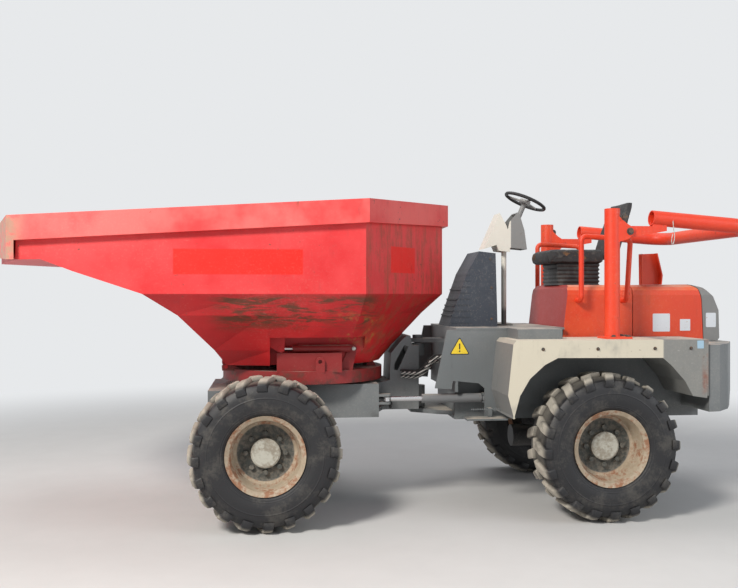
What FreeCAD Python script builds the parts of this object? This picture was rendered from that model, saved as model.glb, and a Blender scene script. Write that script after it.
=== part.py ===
import FreeCAD, Part
import Sketcher
import math
import os
from FreeCAD import Vector

# Site dumper with a swivelling skip: two frames joined by an upright pivot, four equal
# wheels, a skip on a slewing turntable in front, an operator's seat under a folded
# roll-over hoop and an engine under a tilting hood behind.
# +X is forward, +Y is the machine's left, +Z is up, and the ground is z = 0.
# Sizes in the tables are millimetres, and "along" is counted forward of the front axle.

doc = FreeCAD.newDocument("site_dumper")
sheet = doc.addObject("Spreadsheet::Sheet", "Sizes")
numbers = {}
next_row = [1]


class Size:
    """A length that knows its sheet expression and its present value."""

    def __init__(self, text, number):
        self.text = text
        self.number = number

    @staticmethod
    def of(thing):
        if isinstance(thing, Size):
            return thing
        return Size("(" + repr(float(thing)) + ")", float(thing))

    def __add__(self, other):
        other = Size.of(other)
        return Size("(" + self.text + " + " + other.text + ")", self.number + other.number)

    def __sub__(self, other):
        other = Size.of(other)
        return Size("(" + self.text + " - " + other.text + ")", self.number - other.number)

    def __mul__(self, other):
        other = Size.of(other)
        return Size("(" + self.text + " * " + other.text + ")", self.number * other.number)

    def __truediv__(self, other):
        other = Size.of(other)
        return Size("(" + self.text + " / " + other.text + ")", self.number / other.number)

    def __neg__(self):
        return Size("(0 - " + self.text + ")", -self.number)

    def __radd__(self, other):
        return Size.of(other) + self

    def __rsub__(self, other):
        return Size.of(other) - self

    def __rmul__(self, other):
        return Size.of(other) * self


def put(alias, number):
    """Write one driving size into the sheet."""
    row = str(next_row[0])
    next_row[0] += 1
    sheet.set("A" + row, alias)
    sheet.set("B" + row, repr(float(number)))
    sheet.setAlias("B" + row, alias)
    numbers[alias] = float(number)


def q(alias):
    return Size("Sizes." + alias, numbers[alias])


SIZES = (
    # alias, size
    ("front_axle_x", 843.25),
    ("wheelbase", 2467),
    ("track_half", 850),
    ("seat_gap", 0.3),
    ("plate_thick", 15),
    # wheel
    ("tyre_radius", 537.5),
    ("tyre_sides", 20),
    ("lug_count", 20),
    ("stub_radius", 45),
    ("stub_gap", 0.3),
    ("dish_back", 8),
    ("nut_radius", 19),
    ("nut_height", 24),
    ("nut_circle", 137.5),
    ("nut_count", 8),
    # axles
    ("axle_radius", 78),
    ("hub_drum_radius", 150),
    ("hub_drum_length", 95),
    ("hub_flange_radius", 120),
    ("hub_flange_length", 50),
    ("wheel_gap", 7),
    ("diff_radius", 165),
    ("diff_width", 250),
    ("pinion_radius", 88),
    ("front_pinion_length", 380),
    ("rear_pinion_length", 450),
    ("axle_pad_half", 95),
    ("axle_pad_across", 330),
    # turntable and its bearing
    ("slew_x", -295),
    ("slew_ring_radius", 430),
    ("slew_ring_bore", 300),
    ("slew_ring_bottom", 965.3),
    ("slew_ring_top", 984.2),
    ("table_radius", 635),
    ("table_bottom", 984.5),
    ("table_top", 1080),
    ("table_bore", 300),
    ("table_skirt", 26),
    ("table_lid", 14),
    ("table_side_y", 598),
    ("table_side_rear", -560),
    ("table_side_front", -80),
    ("table_side_top", 1214),
    ("table_side_thick", 14),
    ("lash_x", -398),
    ("lash_z", 1150),
    ("lash_radius", 34),
    ("lash_bore", 15),
    ("lash_thick", 16),
    ("rest_rear_x", -870),
    ("rest_front_x", -800),
    ("rest_top", 1116),
    ("rest_half", 120),
    ("rest_thick", 14),
    # skip tipping
    ("tip_x", 300),
    ("tip_z", 1100),
    ("tip_lug_y", 330),
    ("tip_lug_thick", 22),
    ("tip_pin_radius", 15),
    ("tip_bush_gap", 0.3),
    ("tip_lug_side_gap", 6),
    ("ram_y", 552),
    ("ram_z", 1244),
    ("ram_foot_x", -650),
    ("ram_eye_x", -111),
    ("ram_barrel_radius", 29),
    ("ram_barrel_length", 430),
    ("ram_rod_radius", 17),
    ("ram_eye_radius", 27),
    ("ram_eye_thick", 30),
    ("ram_boss_radius", 22),
    ("ram_side_gap", 5),
    ("ram_foot_thick", 12),
    # skip shell
    ("skip_half", 955),
    ("skip_wall", 10),
    ("skip_floor_z", 1122),
    ("skip_bend_low_z", 1240),
    ("skip_bend_high_z", 1500),
    ("skip_crease_z", 1650),
    ("rim_half", 1000),
    ("rim_height", 168),
    ("rim_corner_x", 1708),
    ("rim_corner_z", 2174),
    ("rim_rear_x", -715),
    ("rim_rear_z", 2318),
    ("nose_apex_x", 2085),
    ("nose_low_z", 1881),
    ("nose_rise", 50),
    ("pocket_front", -30),
    ("pocket_rear", -735),
    ("pocket_y", 500),
    ("pocket_top", 1335),
    # front frame
    ("chassis_half", 455),
    ("chassis_top", 965),
    ("chassis_bottom", 712),
    ("chassis_front", 430),
    ("chassis_step_x", 150),
    ("chassis_step_top", 928),
    ("chassis_rear", -855),
    ("chassis_rail", 150),
    ("tower_y", 180),
    ("tower_thick", 20),
    ("boss_low_top", 905),
    ("boss_high_low", 1150),
    ("boss_high_top", 1250),
    ("hitch_half", 215),
    ("hitch_bottom", 735),
    ("hitch_thick", 30),
    ("pivot_pin_radius", 28),
    ("pivot_gap", 0.3),
    ("pivot_boss_radius", 60),
    # steering ram
    ("steer_y", 428),
    ("steer_z", 846),
    ("steer_foot_x", -1690),
    ("steer_eye_x", -920),
    ("steer_barrel_radius", 35),
    ("steer_barrel_length", 465),
    ("steer_rod_radius", 19),
    ("steer_rod_inset", 282),
    ("steer_eye_radius", 34),
    ("steer_eye_thick", 30),
    # rear frame
    ("rear_side_half", 500),
    ("beam_y", 300),
    ("beam_thick", 40),
    ("beam_bottom", 668),
    ("beam_top", 960),
    ("beam_front", -1470),
    ("beam_rear", -3480),
    ("belly_z", 812),
    ("belly_thick", 16),
    ("sill_width", 40),
    ("sill_thick", 20),
    ("sill_overhang", 40),
    ("deck_top", 1390),
    ("deck_thick", 15),
    ("deck_front", -1440),
    ("deck_rear", -2302),
    ("deck_half", 780),
    ("wing_front", -1847),
    ("wing_rear", -2187),
    ("deck_lap", 4),
    # hood's hinge
    ("hinge_x", -3622),
    ("hinge_z", 1292),
    ("hinge_y", 300),
    ("hinge_pin_radius", 6),
    ("hinge_eye_radius", 12),
    ("hinge_eye_width", 40),
    ("hinge_lug_thick", 10),
    # counterweight in plan
    ("weight_half", 940),
    ("weight_edge", 960),
    ("weight_bend_x", -3460),
    ("weight_bend_y", 830),
    ("weight_tail_y", 540),
    ("lower_plate_z", 695),
    ("lower_plate_thick", 32),
    ("upper_lug_z", 1258),
    ("upper_lug_thick", 30),
    # mudguards
    ("guard_outer", 960),
    ("guard_inner", 500.3),
    ("guard_top", 1316),
    ("guard_skin", 8),
    # console and column
    ("cowl_half", 205),
    ("cowl_rib", 9),
    ("column_radius", 21),
    ("column_x", -1960),
    ("column_knee_z", 2000),
    ("petal_width", 180),
    ("petal_skin", 8),
    ("wheel_hub_x", -2134),
    ("wheel_hub_z", 2400),
    ("wheel_ring_radius", 168),
    ("wheel_grip_radius", 14),
    ("wheel_hub_radius", 45),
    # seat
    ("seat_half", 250),
    # hood
    ("hood_half", 450),
    ("hood_bottom", 1282),
    ("hood_skin", 8),
    # roll-over frame
    ("post_x", -2584),
    ("post_y", 750),
    ("post_radius", 57),
    ("post_top", 2290),
    ("post_flange_half", 120),
    ("post_flange_thick", 16),
    ("hoop_pivot_x", -2704.5),
    ("hoop_pivot_z", 2118.5),
    ("hoop_start_x", -2892),
    ("hoop_start_z", 2225),
    ("hoop_end_x", -3715),
    ("hoop_drop", 65),
    ("hoop_bend", 190),
    ("hoop_wall", 8),
    ("ear_y", 42),
    ("ear_thick", 14),
    ("rail_radius", 20),
)

# Outlines in the machine's side view: corner, along, up.
SIDE_VIEWS = {
    "skirt": (
        ("front_top", -1784, 1316), ("front_brow", -1760, 1288), ("front_mid", -1721, 921),
        ("front_toe", -1765, 756), ("arch_a", -1809, 919), ("arch_b", -1883, 1041),
        ("arch_c", -1994, 1140), ("arch_d", -2091, 1189), ("arch_e", -2884, 1183),
        ("arch_f", -2954, 1123), ("arch_g", -3054, 1012), ("arch_h", -3116, 901),
        ("rear_low", -3225, 885), ("rear_top", -3236, 1316),
    ),
    "side_plate": (
        ("top_front", -1374, 1375), ("low_front", -1281, 930), ("notch_in", -1410, 922),
        ("notch_up", -1420, 985), ("notch_over", -1620, 965), ("notch_down", -1668, 925),
        ("heel", -1668, 700), ("toe", -1725, 692), ("rear_mid", -1815, 870),
        ("rear_high", -1854, 1290), ("rear_top", -1865, 1375),
    ),
    "tower": (
        ("foot_front", -840, 735), ("foot_top", -840, 940), ("step", -975, 965),
        ("neck", -985, 1180), ("brow", -1062, 1275), ("crown_front", -1112, 1318),
        ("crown_rear", -1142, 1318), ("post_front", -1156, 1240), ("post_rear", -1209, 1240),
        ("heel", -1209, 735),
    ),
    "tower_slot": (
        ("low_front", -1012, 1045), ("mid_front", -1012, 1095), ("top_front", -1092, 1245),
        ("top_rear", -1125, 1232), ("low_rear", -1042, 1045),
    ),
    "cowl": (
        ("foot_front", -1450, 1390.3), ("belly", -1520, 1594), ("breast", -1600, 1817),
        ("brow", -1700, 1993), ("top_rear", -1835, 1978), ("foot_rear", -1851, 1390.3),
    ),
    "front_petal": (
        ("crown", -1901, 2314), ("lip", -1769, 2018), ("notch", -1874, 2052),
        ("foot_front", -1895, 2005), ("foot_rear", -1988, 1995), ("back", -1985, 2134),
        ("back_top", -1957, 2213),
    ),
    "rear_petal": (
        ("crown", -2054, 2322), ("breast", -1985, 2241), ("waist", -1955, 2118),
        ("foot", -1985, 2030), ("lip", -2131, 2017), ("back", -2110, 2172),
        ("back_top", -2069, 2306),
    ),
    "cushion": (
        ("low_front", -2262, 1900), ("lip", -2228, 1945), ("crown", -2250, 1992),
        ("top_mid", -2480, 2012), ("top_rear", -2770, 1984), ("low_rear", -2775, 1900),
    ),
    "backrest": (
        ("low_front", -2773.8, 1925), ("front_mid", -2846, 2121), ("front_top", -2946, 2385),
        ("crown", -2992, 2418), ("rear_top", -3024, 2388), ("rear_mid", -2938, 2110),
        ("rear_low", -2852, 1925),
    ),
    "box_cover": (
        ("front_low", -2303, 1282), ("front_top", -2350, 1690), ("shoulder", -2372, 1722),
        ("rear_top", -2876, 1722), ("rear_low", -2876, 1282),
    ),
    "hood": (
        ("front_low", -2882, 1282), ("front_top", -2882, 1722), ("rear_top", -3385, 1728),
        ("rear_bow", -3432, 1694), ("rear_mid", -3452, 1600), ("rear_low", -3466, 1282),
    ),
    "grille": (
        ("front_low", -3472, 1282), ("front_mid", -3458, 1600), ("front_bow", -3438, 1696),
        ("front_top", -3398, 1728), ("brow", -3482, 1700), ("cheek", -3552, 1630),
        ("rear_mid", -3598, 1520), ("rear_low", -3604, 1300), ("foot", -3590, 1282),
    ),
    "bracket": (
        ("front_low", -2975, 1723.5), ("front_top", -2972, 1969), ("rear_top", -3105, 1975),
        ("rear_knee", -3148, 1800), ("rear_low", -3140, 1725.5),
    ),
    "weight": (
        ("front_low", -3252, 780), ("rear_low", -3560, 790), ("rear_mid", -3640, 900),
        ("rear_top", -3640, 1276), ("front_top", -3252, 1276),
    ),
}

# Outlines in plan: corner, along, across.
PLAN_VIEWS = {
    "floor_ring": (
        ("front", 290, 480), ("side", -60, 590), ("corner", -549, 540),
        ("quarter", -800, 320), ("tail", -900, 90),
    ),
    "low_ring": (
        ("front", 372, 590), ("side", -40, 672), ("corner", -590, 640),
        ("quarter", -862, 372), ("tail", -1000, 98),
    ),
    "high_ring": (
        ("front", 610, 835), ("side", 10, 868), ("corner", -668, 858),
        ("quarter", -985, 486), ("tail", -1245, 118),
    ),
    "crease_ring": (
        ("front", 834.5, 955), ("side", 50, 955), ("corner", -700, 955),
        ("quarter", -1055, 545), ("tail", -1412, 130),
    ),
}

CHUTE = (
    # corner, along, up
    ("start", 834.5, 1650), ("knee", 1295, 1805), ("toe", 1502, 1885), ("lip", 1660, 1881),
)

for alias, number in SIZES:
    put(alias, number)
for view_name, corners in SIDE_VIEWS.items():
    for corner, along, up in corners:
        put(view_name + "_" + corner + "_x", along)
        put(view_name + "_" + corner + "_z", up)
for view_name, corners in PLAN_VIEWS.items():
    for corner, along, across in corners:
        put(view_name + "_" + corner + "_x", along)
        put(view_name + "_" + corner + "_y", across)
for corner, along, up in CHUTE:
    put("chute_" + corner + "_x", along)
    put("chute_" + corner + "_z", up)
doc.recompute()

FRONT = q("front_axle_x")
REAR = FRONT - q("wheelbase")
PIVOT = FRONT - q("wheelbase") / 2
GAP = q("seat_gap")


def at(alias):
    """A station along the machine, from its size forward of the front axle."""
    return FRONT + q(alias)


def side_view(name):
    return [(at(name + "_" + row[0] + "_x"), q(name + "_" + row[0] + "_z"))
            for row in SIDE_VIEWS[name]]


# Small makers for bodies whose every size is an expression

def bind(obj, prop, size):
    obj.setExpression(prop, Size.of(size).text)


def place(obj, x=0, y=0, z=0, axis=None, degrees=0):
    if axis is not None:
        turn = FreeCAD.Rotation(Vector(*axis), degrees)
        obj.Placement = FreeCAD.Placement(Vector(0, 0, 0), turn)
    for letter, size in (("x", x), ("y", y), ("z", z)):
        bind(obj, "Placement.Base." + letter, size)
    return obj


def outline(body, plane, corners, name):
    """A closed straight-sided sketch whose corners are held by sheet expressions."""
    sketch = body.newObject("Sketcher::SketchObject", name)
    planes = {"XY": 3, "XZ": 4, "YZ": 5}
    sketch.AttachmentSupport = [(body.Origin.OriginFeatures[planes[plane]], "")]
    sketch.MapMode = "FlatFace"
    points = [Vector(Size.of(a).number, Size.of(b).number, 0) for a, b in corners]
    count = len(points)
    for i in range(count):
        sketch.addGeometry(Part.LineSegment(points[i], points[(i + 1) % count]), False)
    for i in range(count):
        sketch.addConstraint(Sketcher.Constraint("Coincident", i, 2, (i + 1) % count, 1))
    for i, (a, b) in enumerate(corners):
        for kind, size, line in (("DistanceX", Size.of(a), -2), ("DistanceY", Size.of(b), -1)):
            if size.number == 0:
                sketch.addConstraint(Sketcher.Constraint("PointOnObject", i, 1, line))
                continue
            index = sketch.addConstraint(Sketcher.Constraint(kind, -1, 1, i, 1, size.number))
            sketch.setExpression("Constraints[" + str(index) + "]", size.text)
    return sketch


def slab(name, plane, corners, length, middle=False):
    """An outline padded by a length: XZ pads across, XY pads up, YZ pads forward."""
    body = doc.addObject("PartDesign::Body", name)
    sketch = outline(body, plane, corners, name + "_outline")
    pad = body.newObject("PartDesign::Pad", name + "_pad")
    pad.Profile = sketch
    bind(pad, "Length", length)
    pad.Midplane = middle
    sketch.Visibility = False
    body.Tip = pad
    return body


def across(name, corners, thick, y_mid):
    """A side-view outline, padded across the machine about y_mid."""
    return place(slab(name, "XZ", corners, thick, True), 0, y_mid, 0)


def upward(name, corners, height, z_low):
    return place(slab(name, "XY", corners, height), 0, 0, z_low)


def box(name, x_low, x_high, y_low, y_high, z_low, z_high):
    block = doc.addObject("Part::Box", name)
    lows = [Size.of(s) for s in (x_low, y_low, z_low)]
    highs = [Size.of(s) for s in (x_high, y_high, z_high)]
    for prop, low, high in zip(("Length", "Width", "Height"), lows, highs):
        bind(block, prop, high - low)
    return place(block, *lows)


def rod(name, radius, length, x, y, z, axis="Z"):
    """A round bar from a start point along +X, +Y or +Z."""
    bar = doc.addObject("Part::Cylinder", name)
    bind(bar, "Radius", radius)
    bind(bar, "Height", length)
    turns = {"X": ((0, 1, 0), 90), "Y": ((1, 0, 0), -90), "Z": (None, 0)}
    return place(bar, x, y, z, *turns[axis])


def pin_across(name, radius, length, x, y_mid, z):
    return rod(name, radius, length, x, Size.of(y_mid) - Size.of(length) / 2, z, "Y")


def fuse(name, shapes):
    joined = doc.addObject("Part::MultiFuse", name)
    joined.Shapes = shapes
    joined.Refine = True
    return joined


def group(name, shapes):
    """Several solids of one body that don't touch."""
    kept = doc.addObject("Part::Compound", name)
    kept.Links = shapes
    return kept


def meet(name, shapes):
    shared = doc.addObject("Part::MultiCommon", name)
    shared.Shapes = shapes
    return shared


def cut(name, base, tool):
    left = doc.addObject("Part::Cut", name)
    left.Base = base
    left.Tool = tool
    left.Refine = True
    return left


def mirrored(name, source):
    """The same piece on the machine's other side."""
    other = doc.addObject("Part::Mirroring", name)
    other.Source = source
    other.Base = Vector(0, 0, 0)
    other.Normal = Vector(0, 1, 0)
    return other


def shaped(name, shape):
    """A shape that is worked out from sheet sizes."""
    piece = doc.addObject("Part::Feature", name)
    piece.Shape = shape
    return piece


def number(size):
    return Size.of(size).number


def bent_tube(name, points, radius, bend, wall=0):
    """A round tube along straight runs with rounded corners."""
    spots = [Vector(*[number(s) for s in p]) for p in points]
    edges = []
    start = spots[0]
    for i in range(1, len(spots) - 1):
        back = (spots[i - 1] - spots[i]).normalize()
        ahead = (spots[i + 1] - spots[i]).normalize()
        half = math.acos(max(-1.0, min(1.0, back.dot(ahead)))) / 2
        reach = number(bend) / math.tan(half)
        first = spots[i] + back * reach
        last = spots[i] + ahead * reach
        inward = (back + ahead).normalize()
        middle = spots[i] + inward * (number(bend) / math.sin(half) - number(bend))
        edges.append(Part.makeLine(start, first))
        edges.append(Part.Arc(first, middle, last).toShape())
        start = last
    edges.append(Part.makeLine(start, spots[-1]))
    spine = Part.Wire(edges)
    aim = (spots[1] - spots[0]).normalize()

    def swept(r):
        ring = Part.Wire([Part.makeCircle(r, spots[0], aim)])
        return spine.makePipeShell([ring], True, False)

    solid = swept(number(radius))
    if wall:
        inside = number(radius) - number(wall)
        for end, beside in ((spots[0], spots[1]), (spots[-1], spots[-2])):
            way = (beside - end).normalize()
            solid = solid.cut(Part.makeCylinder(inside, 2 * number(radius), end, way))
    return shaped(name, solid)


def ring_of(name, height):
    """One closed skip section: the left half of its corners, then the right half."""
    left = [(number(at(name + "_" + row[0] + "_x")), number(q(name + "_" + row[0] + "_y")))
            for row in PLAN_VIEWS[name]]
    right = [(x, -y) for x, y in reversed(left)]
    return [Vector(x, y, number(height)) for x, y in left + right]


# Wheels: one tyre and one rim, drawn about the origin with the outer face towards +Y

TYRE_HALF = (
    # corner, across, radius
    ("bead", 157, 254.2), ("belly", 199, 372), ("shoulder", 184, 478), ("crown", 122, 503),
)
for corner, out, radius in TYRE_HALF:
    put("tyre_" + corner + "_y", out)
    put("tyre_" + corner + "_r", radius)
LUG_SECTION = (
    # corner, across, radius
    ("inner_root", 8, 470), ("inner_top", 8, 533.5), ("bend", 138, 533.5), ("edge", 204, 496),
    ("tip_root", 186, 446),
)
for corner, out, radius in LUG_SECTION:
    put("lug_" + corner + "_y", out)
    put("lug_" + corner + "_r", radius)
put("lug_half_width", 42)
put("lug_skew", 50)
doc.recompute()


def facet_ring(profile, sides):
    """A closed profile turned about the Y axis in flat steps."""
    def spot(i, k):
        angle = 2 * math.pi * k / sides
        out, radius = profile[i % len(profile)]
        return Vector(radius * math.sin(angle), out, radius * math.cos(angle))

    faces = []
    for k in range(sides):
        for i in range(len(profile)):
            corners = [spot(i, k), spot(i + 1, k), spot(i + 1, k + 1), spot(i, k + 1)]
            faces.append(Part.Face(Part.makePolygon(corners + [corners[0]])))
    solid = Part.Solid(Part.Shell(faces))
    if solid.Volume < 0:
        solid.reverse()
    return solid


def tyre_shape():
    """A carcass with a row of slanting lugs on each side, half a pitch apart."""
    half = [(numbers["tyre_" + row[0] + "_y"], numbers["tyre_" + row[0] + "_r"])
            for row in TYRE_HALF]
    sides = int(numbers["tyre_sides"])
    profile = half + [(-out, radius) for out, radius in reversed(half)]
    bead = 1 / math.cos(math.pi / sides)
    profile[0] = (profile[0][0], profile[0][1] * bead)
    profile[-1] = (profile[-1][0], profile[-1][1] * bead)
    carcass = facet_ring(profile, sides)
    lugs = []
    width = numbers["lug_half_width"]
    slope = numbers["lug_skew"] / numbers["lug_edge_y"]
    count = int(numbers["lug_count"])
    for hand, start in ((1, 0.0), (-1, 180.0 / count)):
        corners = []
        for row in LUG_SECTION:
            out = numbers["lug_" + row[0] + "_y"]
            along = slope * (out - numbers["lug_edge_y"] / 2) - width
            corners.append(Vector(along, out * hand, numbers["lug_" + row[0] + "_r"]))
        lug = Part.Face(Part.makePolygon(corners + [corners[0]])).extrude(Vector(2 * width, 0, 0))
        for i in range(count):
            turned = lug.copy()
            turned.rotate(Vector(0, 0, 0), Vector(0, 1, 0), start + 360.0 * i / count)
            lugs.append(turned)
    return carcass.fuse(lugs).removeSplitter()


tyre = shaped("tyre_form", tyre_shape())

rim_table = (
    ("cap_rim", 92, 58), ("cap_edge", 104, 50), ("cap_foot", 104, 15), ("dish", 190, 15),
    ("well", 222, 28), ("well_out", 234, 112), ("ledge_out", 247, 168),
    ("lip_face", 278, 185), ("lip_back", 278, 173), ("seat_out", 253.7, 160),
    ("seat_in", 253.7, -160), ("far_back", 278, -173), ("far_face", 278, -185),
    ("far_lip", 245, -176), ("barrel", 238, -20), ("dish_rim", 205, -8),
)
for corner, radius, across_size in rim_table:
    put("rim_" + corner + "_r", radius)
    put("rim_" + corner + "_y", across_size)
put("cap_face", 58)
put("bore_depth", 30)
doc.recompute()
rim = doc.addObject("PartDesign::Body", "rim_form")
bore = q("stub_radius") + q("stub_gap")
rim_corners = [(Size.of(0), q("cap_face"))]
rim_corners += [(q("rim_" + row[0] + "_r"), q("rim_" + row[0] + "_y")) for row in rim_table]
rim_corners += [(bore, -q("dish_back")), (bore, q("bore_depth")), (Size.of(0), q("bore_depth"))]
rim_sketch = outline(rim, "XY", rim_corners, "rim_outline")
rim_turn = rim.newObject("PartDesign::Revolution", "rim_turned")
rim_turn.Profile = rim_sketch
rim_turn.ReferenceAxis = (rim_sketch, ["V_Axis"])
rim_turn.Angle = 360
nut_sketch = rim.newObject("Sketcher::SketchObject", "nut_outline")
nut_sketch.AttachmentSupport = [(rim.Origin.OriginFeatures[4], "")]
nut_sketch.MapMode = "FlatFace"
nut_circle = number(q("nut_circle"))
nut_corners = [Vector(nut_circle + 19 * math.cos(math.radians(60 * i)),
                      19 * math.sin(math.radians(60 * i)), 0) for i in range(6)]
for i in range(6):
    nut_sketch.addGeometry(Part.LineSegment(nut_corners[i], nut_corners[(i + 1) % 6]), False)
nut_sketch.addGeometry(Part.Circle(Vector(nut_circle, 0, 0), Vector(0, 0, 1), 19), True)
for i in range(6):
    nut_sketch.addConstraint(Sketcher.Constraint("Coincident", i, 2, (i + 1) % 6, 1))
    nut_sketch.addConstraint(Sketcher.Constraint("PointOnObject", i, 1, 6))
for i in range(5):
    nut_sketch.addConstraint(Sketcher.Constraint("Equal", i, i + 1))
nut_sketch.addConstraint(Sketcher.Constraint("PointOnObject", 6, 3, -1))
held = nut_sketch.addConstraint(Sketcher.Constraint("DistanceX", -1, 1, 6, 3, nut_circle))
nut_sketch.setExpression("Constraints[" + str(held) + "]", q("nut_circle").text)
held = nut_sketch.addConstraint(Sketcher.Constraint("Radius", 6, 19))
nut_sketch.setExpression("Constraints[" + str(held) + "]", q("nut_radius").text)
nut_sketch.addConstraint(Sketcher.Constraint("PointOnObject", 0, 1, -1))
nut = rim.newObject("PartDesign::Pad", "nut_pad")
nut.Profile = nut_sketch
nut.Reversed = True
bind(nut, "Length", q("nut_height") + 15)
nuts = rim.newObject("PartDesign::PolarPattern", "nut_ring")
nuts.Originals = [nut]
nuts.Axis = (rim_sketch, ["V_Axis"])
nuts.Angle = 360
bind(nuts, "Occurrences", q("nut_count"))
rim.Tip = nuts

nodes = []
WHEELS = (
    # name, station along, hand
    ("front_left", FRONT, 1), ("front_right", FRONT, -1),
    ("rear_left", REAR, 1), ("rear_right", REAR, -1),
)
for wheel_name, station, hand in WHEELS:
    tyre_node = group("tyre_" + wheel_name, [tyre])
    place(tyre_node, station, q("track_half") * hand, q("tyre_radius"))
    rim_copy = group("rim_seed_" + wheel_name, [rim])
    place(rim_copy, station, q("track_half"), q("tyre_radius"))
    rim_node = rim_copy if hand > 0 else mirrored("rim_mirror_" + wheel_name, rim_copy)
    nodes.append(("tyre_" + wheel_name, tyre_node))
    nodes.append(("rim_" + wheel_name, rim_node))


# Axles: a casing with hub drums and stubs, a round gear case and its input neck

def axle(name, station, neck_length, neck_way, seat_z):
    face = q("track_half") - q("dish_back") - q("wheel_gap")
    height = q("tyre_radius")
    drum_root = face - q("hub_flange_length")
    parts = [pin_across(name + "_casing", q("axle_radius"), drum_root * 2, station, 0, height),
             pin_across(name + "_hubs", q("hub_flange_radius"), face * 2, station, 0, height)]
    trim_tool = pin_across(name + "_waist", q("hub_drum_radius") * 2,
                           (face - q("hub_flange_length")) * 2, station, 0, height)
    hubs = cut(name + "_hub_pair", parts[1], trim_tool)
    drums = pin_across(name + "_drums", q("hub_drum_radius"), drum_root * 2, station, 0, height)
    gap_tool = pin_across(name + "_between", q("hub_drum_radius") * 2,
                          (drum_root - q("hub_drum_length")) * 2, station, 0, height)
    drum_pair = cut(name + "_drum_pair", drums, gap_tool)
    stub = pin_across(name + "_stub", q("stub_radius"),
                      (q("track_half") + q("bore_depth") - 2) * 2, station, 0, height)
    case = pin_across(name + "_case", q("diff_radius"), q("diff_width"), station, 0, height)
    neck_start = station if neck_way > 0 else station - neck_length
    neck = rod(name + "_neck", q("pinion_radius"), neck_length, neck_start, 0, height - 60, "X")
    pads = []
    for pad_hand in (1, -1):
        middle = q("axle_pad_across") * pad_hand
        pads.append(box(name + "_pad_" + ("left" if pad_hand > 0 else "right"),
                        station - q("axle_pad_half"), station + q("axle_pad_half"),
                        middle - 50, middle + 50, height, seat_z - GAP))
    return fuse(name, [parts[0], hubs, drum_pair, stub, case, neck] + pads)


front_axle = axle("front_axle", FRONT, q("front_pinion_length"), -1, q("chassis_bottom"))
rear_axle = axle("rear_axle", REAR, q("rear_pinion_length"), 1, q("beam_bottom"))
nodes += [("front_axle", front_axle), ("rear_axle", rear_axle)]

# Front frame: side rails, a deck for the bearing, and the tower with the pivot's bosses

rail_left = box("front_rail_left", at("chassis_rear"), at("chassis_front"),
                q("chassis_half") - q("chassis_rail"), q("chassis_half"),
                q("chassis_bottom"), q("chassis_step_top"))
rail_right = box("front_rail_right", at("chassis_rear"), at("chassis_front"),
                 -q("chassis_half"), q("chassis_rail") - q("chassis_half"),
                 q("chassis_bottom"), q("chassis_step_top"))
front_deck = box("front_deck", at("chassis_rear"), at("chassis_step_x"),
                 -q("chassis_half"), q("chassis_half"), q("chassis_step_top") - 20,
                 q("chassis_top"))
front_shelf = box("front_shelf", at("chassis_step_x") - 10, at("chassis_front"),
                  -q("chassis_half"), q("chassis_half"), q("chassis_step_top") - 20,
                  q("chassis_step_top"))
front_nose = box("front_cross", at("chassis_front") - 30, at("chassis_front"),
                 -q("chassis_half"), q("chassis_half"), q("chassis_bottom"),
                 q("chassis_step_top"))
front_tail = box("front_tail", at("chassis_rear"), at("chassis_rear") + 30,
                 -q("chassis_half"), q("chassis_half"), q("hitch_bottom"),
                 q("chassis_top"))
hitch_plate = upward("hitch_plate",
                     [(at("chassis_rear") + 20, q("chassis_half") - 20),
                      (at("chassis_rear") + 20, 20 - q("chassis_half")),
                      (at("chassis_rear") - 60, -q("hitch_half")),
                      (PIVOT, -q("pivot_boss_radius")), (PIVOT, q("pivot_boss_radius")),
                      (at("chassis_rear") - 60, q("hitch_half"))],
                     q("hitch_thick"), q("hitch_bottom"))
tower_solid = across("tower_cheeks", side_view("tower"),
                     (q("tower_y") + q("tower_thick")) * 2, 0)
tower_core = across("tower_core",
                    [(at("chassis_rear"), q("hitch_bottom") + q("hitch_thick")),
                     (at("chassis_rear"), q("tower_step_z") - 20),
                     (at("tower_neck_x") - 20, q("tower_step_z") - 20),
                     (at("tower_neck_x") - 20, q("tower_neck_z") - 6),
                     (at("tower_crown_front_x") - 6, q("tower_crown_front_z") - 22),
                     (at("tower_crown_rear_x") - 10, q("boss_high_low")),
                     (at("tower_heel_x") - 20, q("boss_high_low")),
                     (at("tower_heel_x") - 20, q("hitch_bottom") + q("hitch_thick"))],
                    q("tower_y") * 2, 0)
tower_hole = across("tower_window", side_view("tower_slot"), 600, 0)
tower_open = cut("tower_open", cut("tower_hollow", tower_solid, tower_core), tower_hole)
boss_low = rod("boss_low", q("pivot_boss_radius"), q("boss_low_top") - q("hitch_bottom"),
               PIVOT, 0, q("hitch_bottom"))
boss_high = rod("boss_high", q("pivot_boss_radius"), q("boss_high_top") - q("boss_high_low"),
                PIVOT, 0, q("boss_high_low"))
boss_arm = box("boss_arm", PIVOT, at("tower_crown_rear_x") - 10, -q("pivot_boss_radius"),
               q("pivot_boss_radius"), q("boss_high_low"), q("tower_post_rear_z"))
pivot_bore = rod("pivot_bore", q("pivot_pin_radius") + q("pivot_gap"), 900, PIVOT, 0, 600)
steer_clevis = [upward("steer_cheek_" + tag,
                       [(at("chassis_rear") + 10, q("steer_y") - 40),
                        (at("chassis_rear") + 10, q("steer_y") + 26),
                        (at("steer_eye_x") - 16, q("steer_y") + 26),
                        (at("steer_eye_x") - 28, q("steer_y") + 12),
                        (at("steer_eye_x") - 28, q("steer_y") - 20),
                        (at("steer_eye_x") - 12, q("steer_y") - 40)],
                       18, q("steer_z") + low)
                for tag, low in (("low", -39), ("high", 21))]
front_parts = [rail_left, rail_right, front_deck, front_shelf, front_nose, front_tail,
               hitch_plate, tower_open, boss_low, boss_high, boss_arm] + steer_clevis
front_chassis = cut("front_chassis", fuse("front_chassis_whole", front_parts), pivot_bore)
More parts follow.
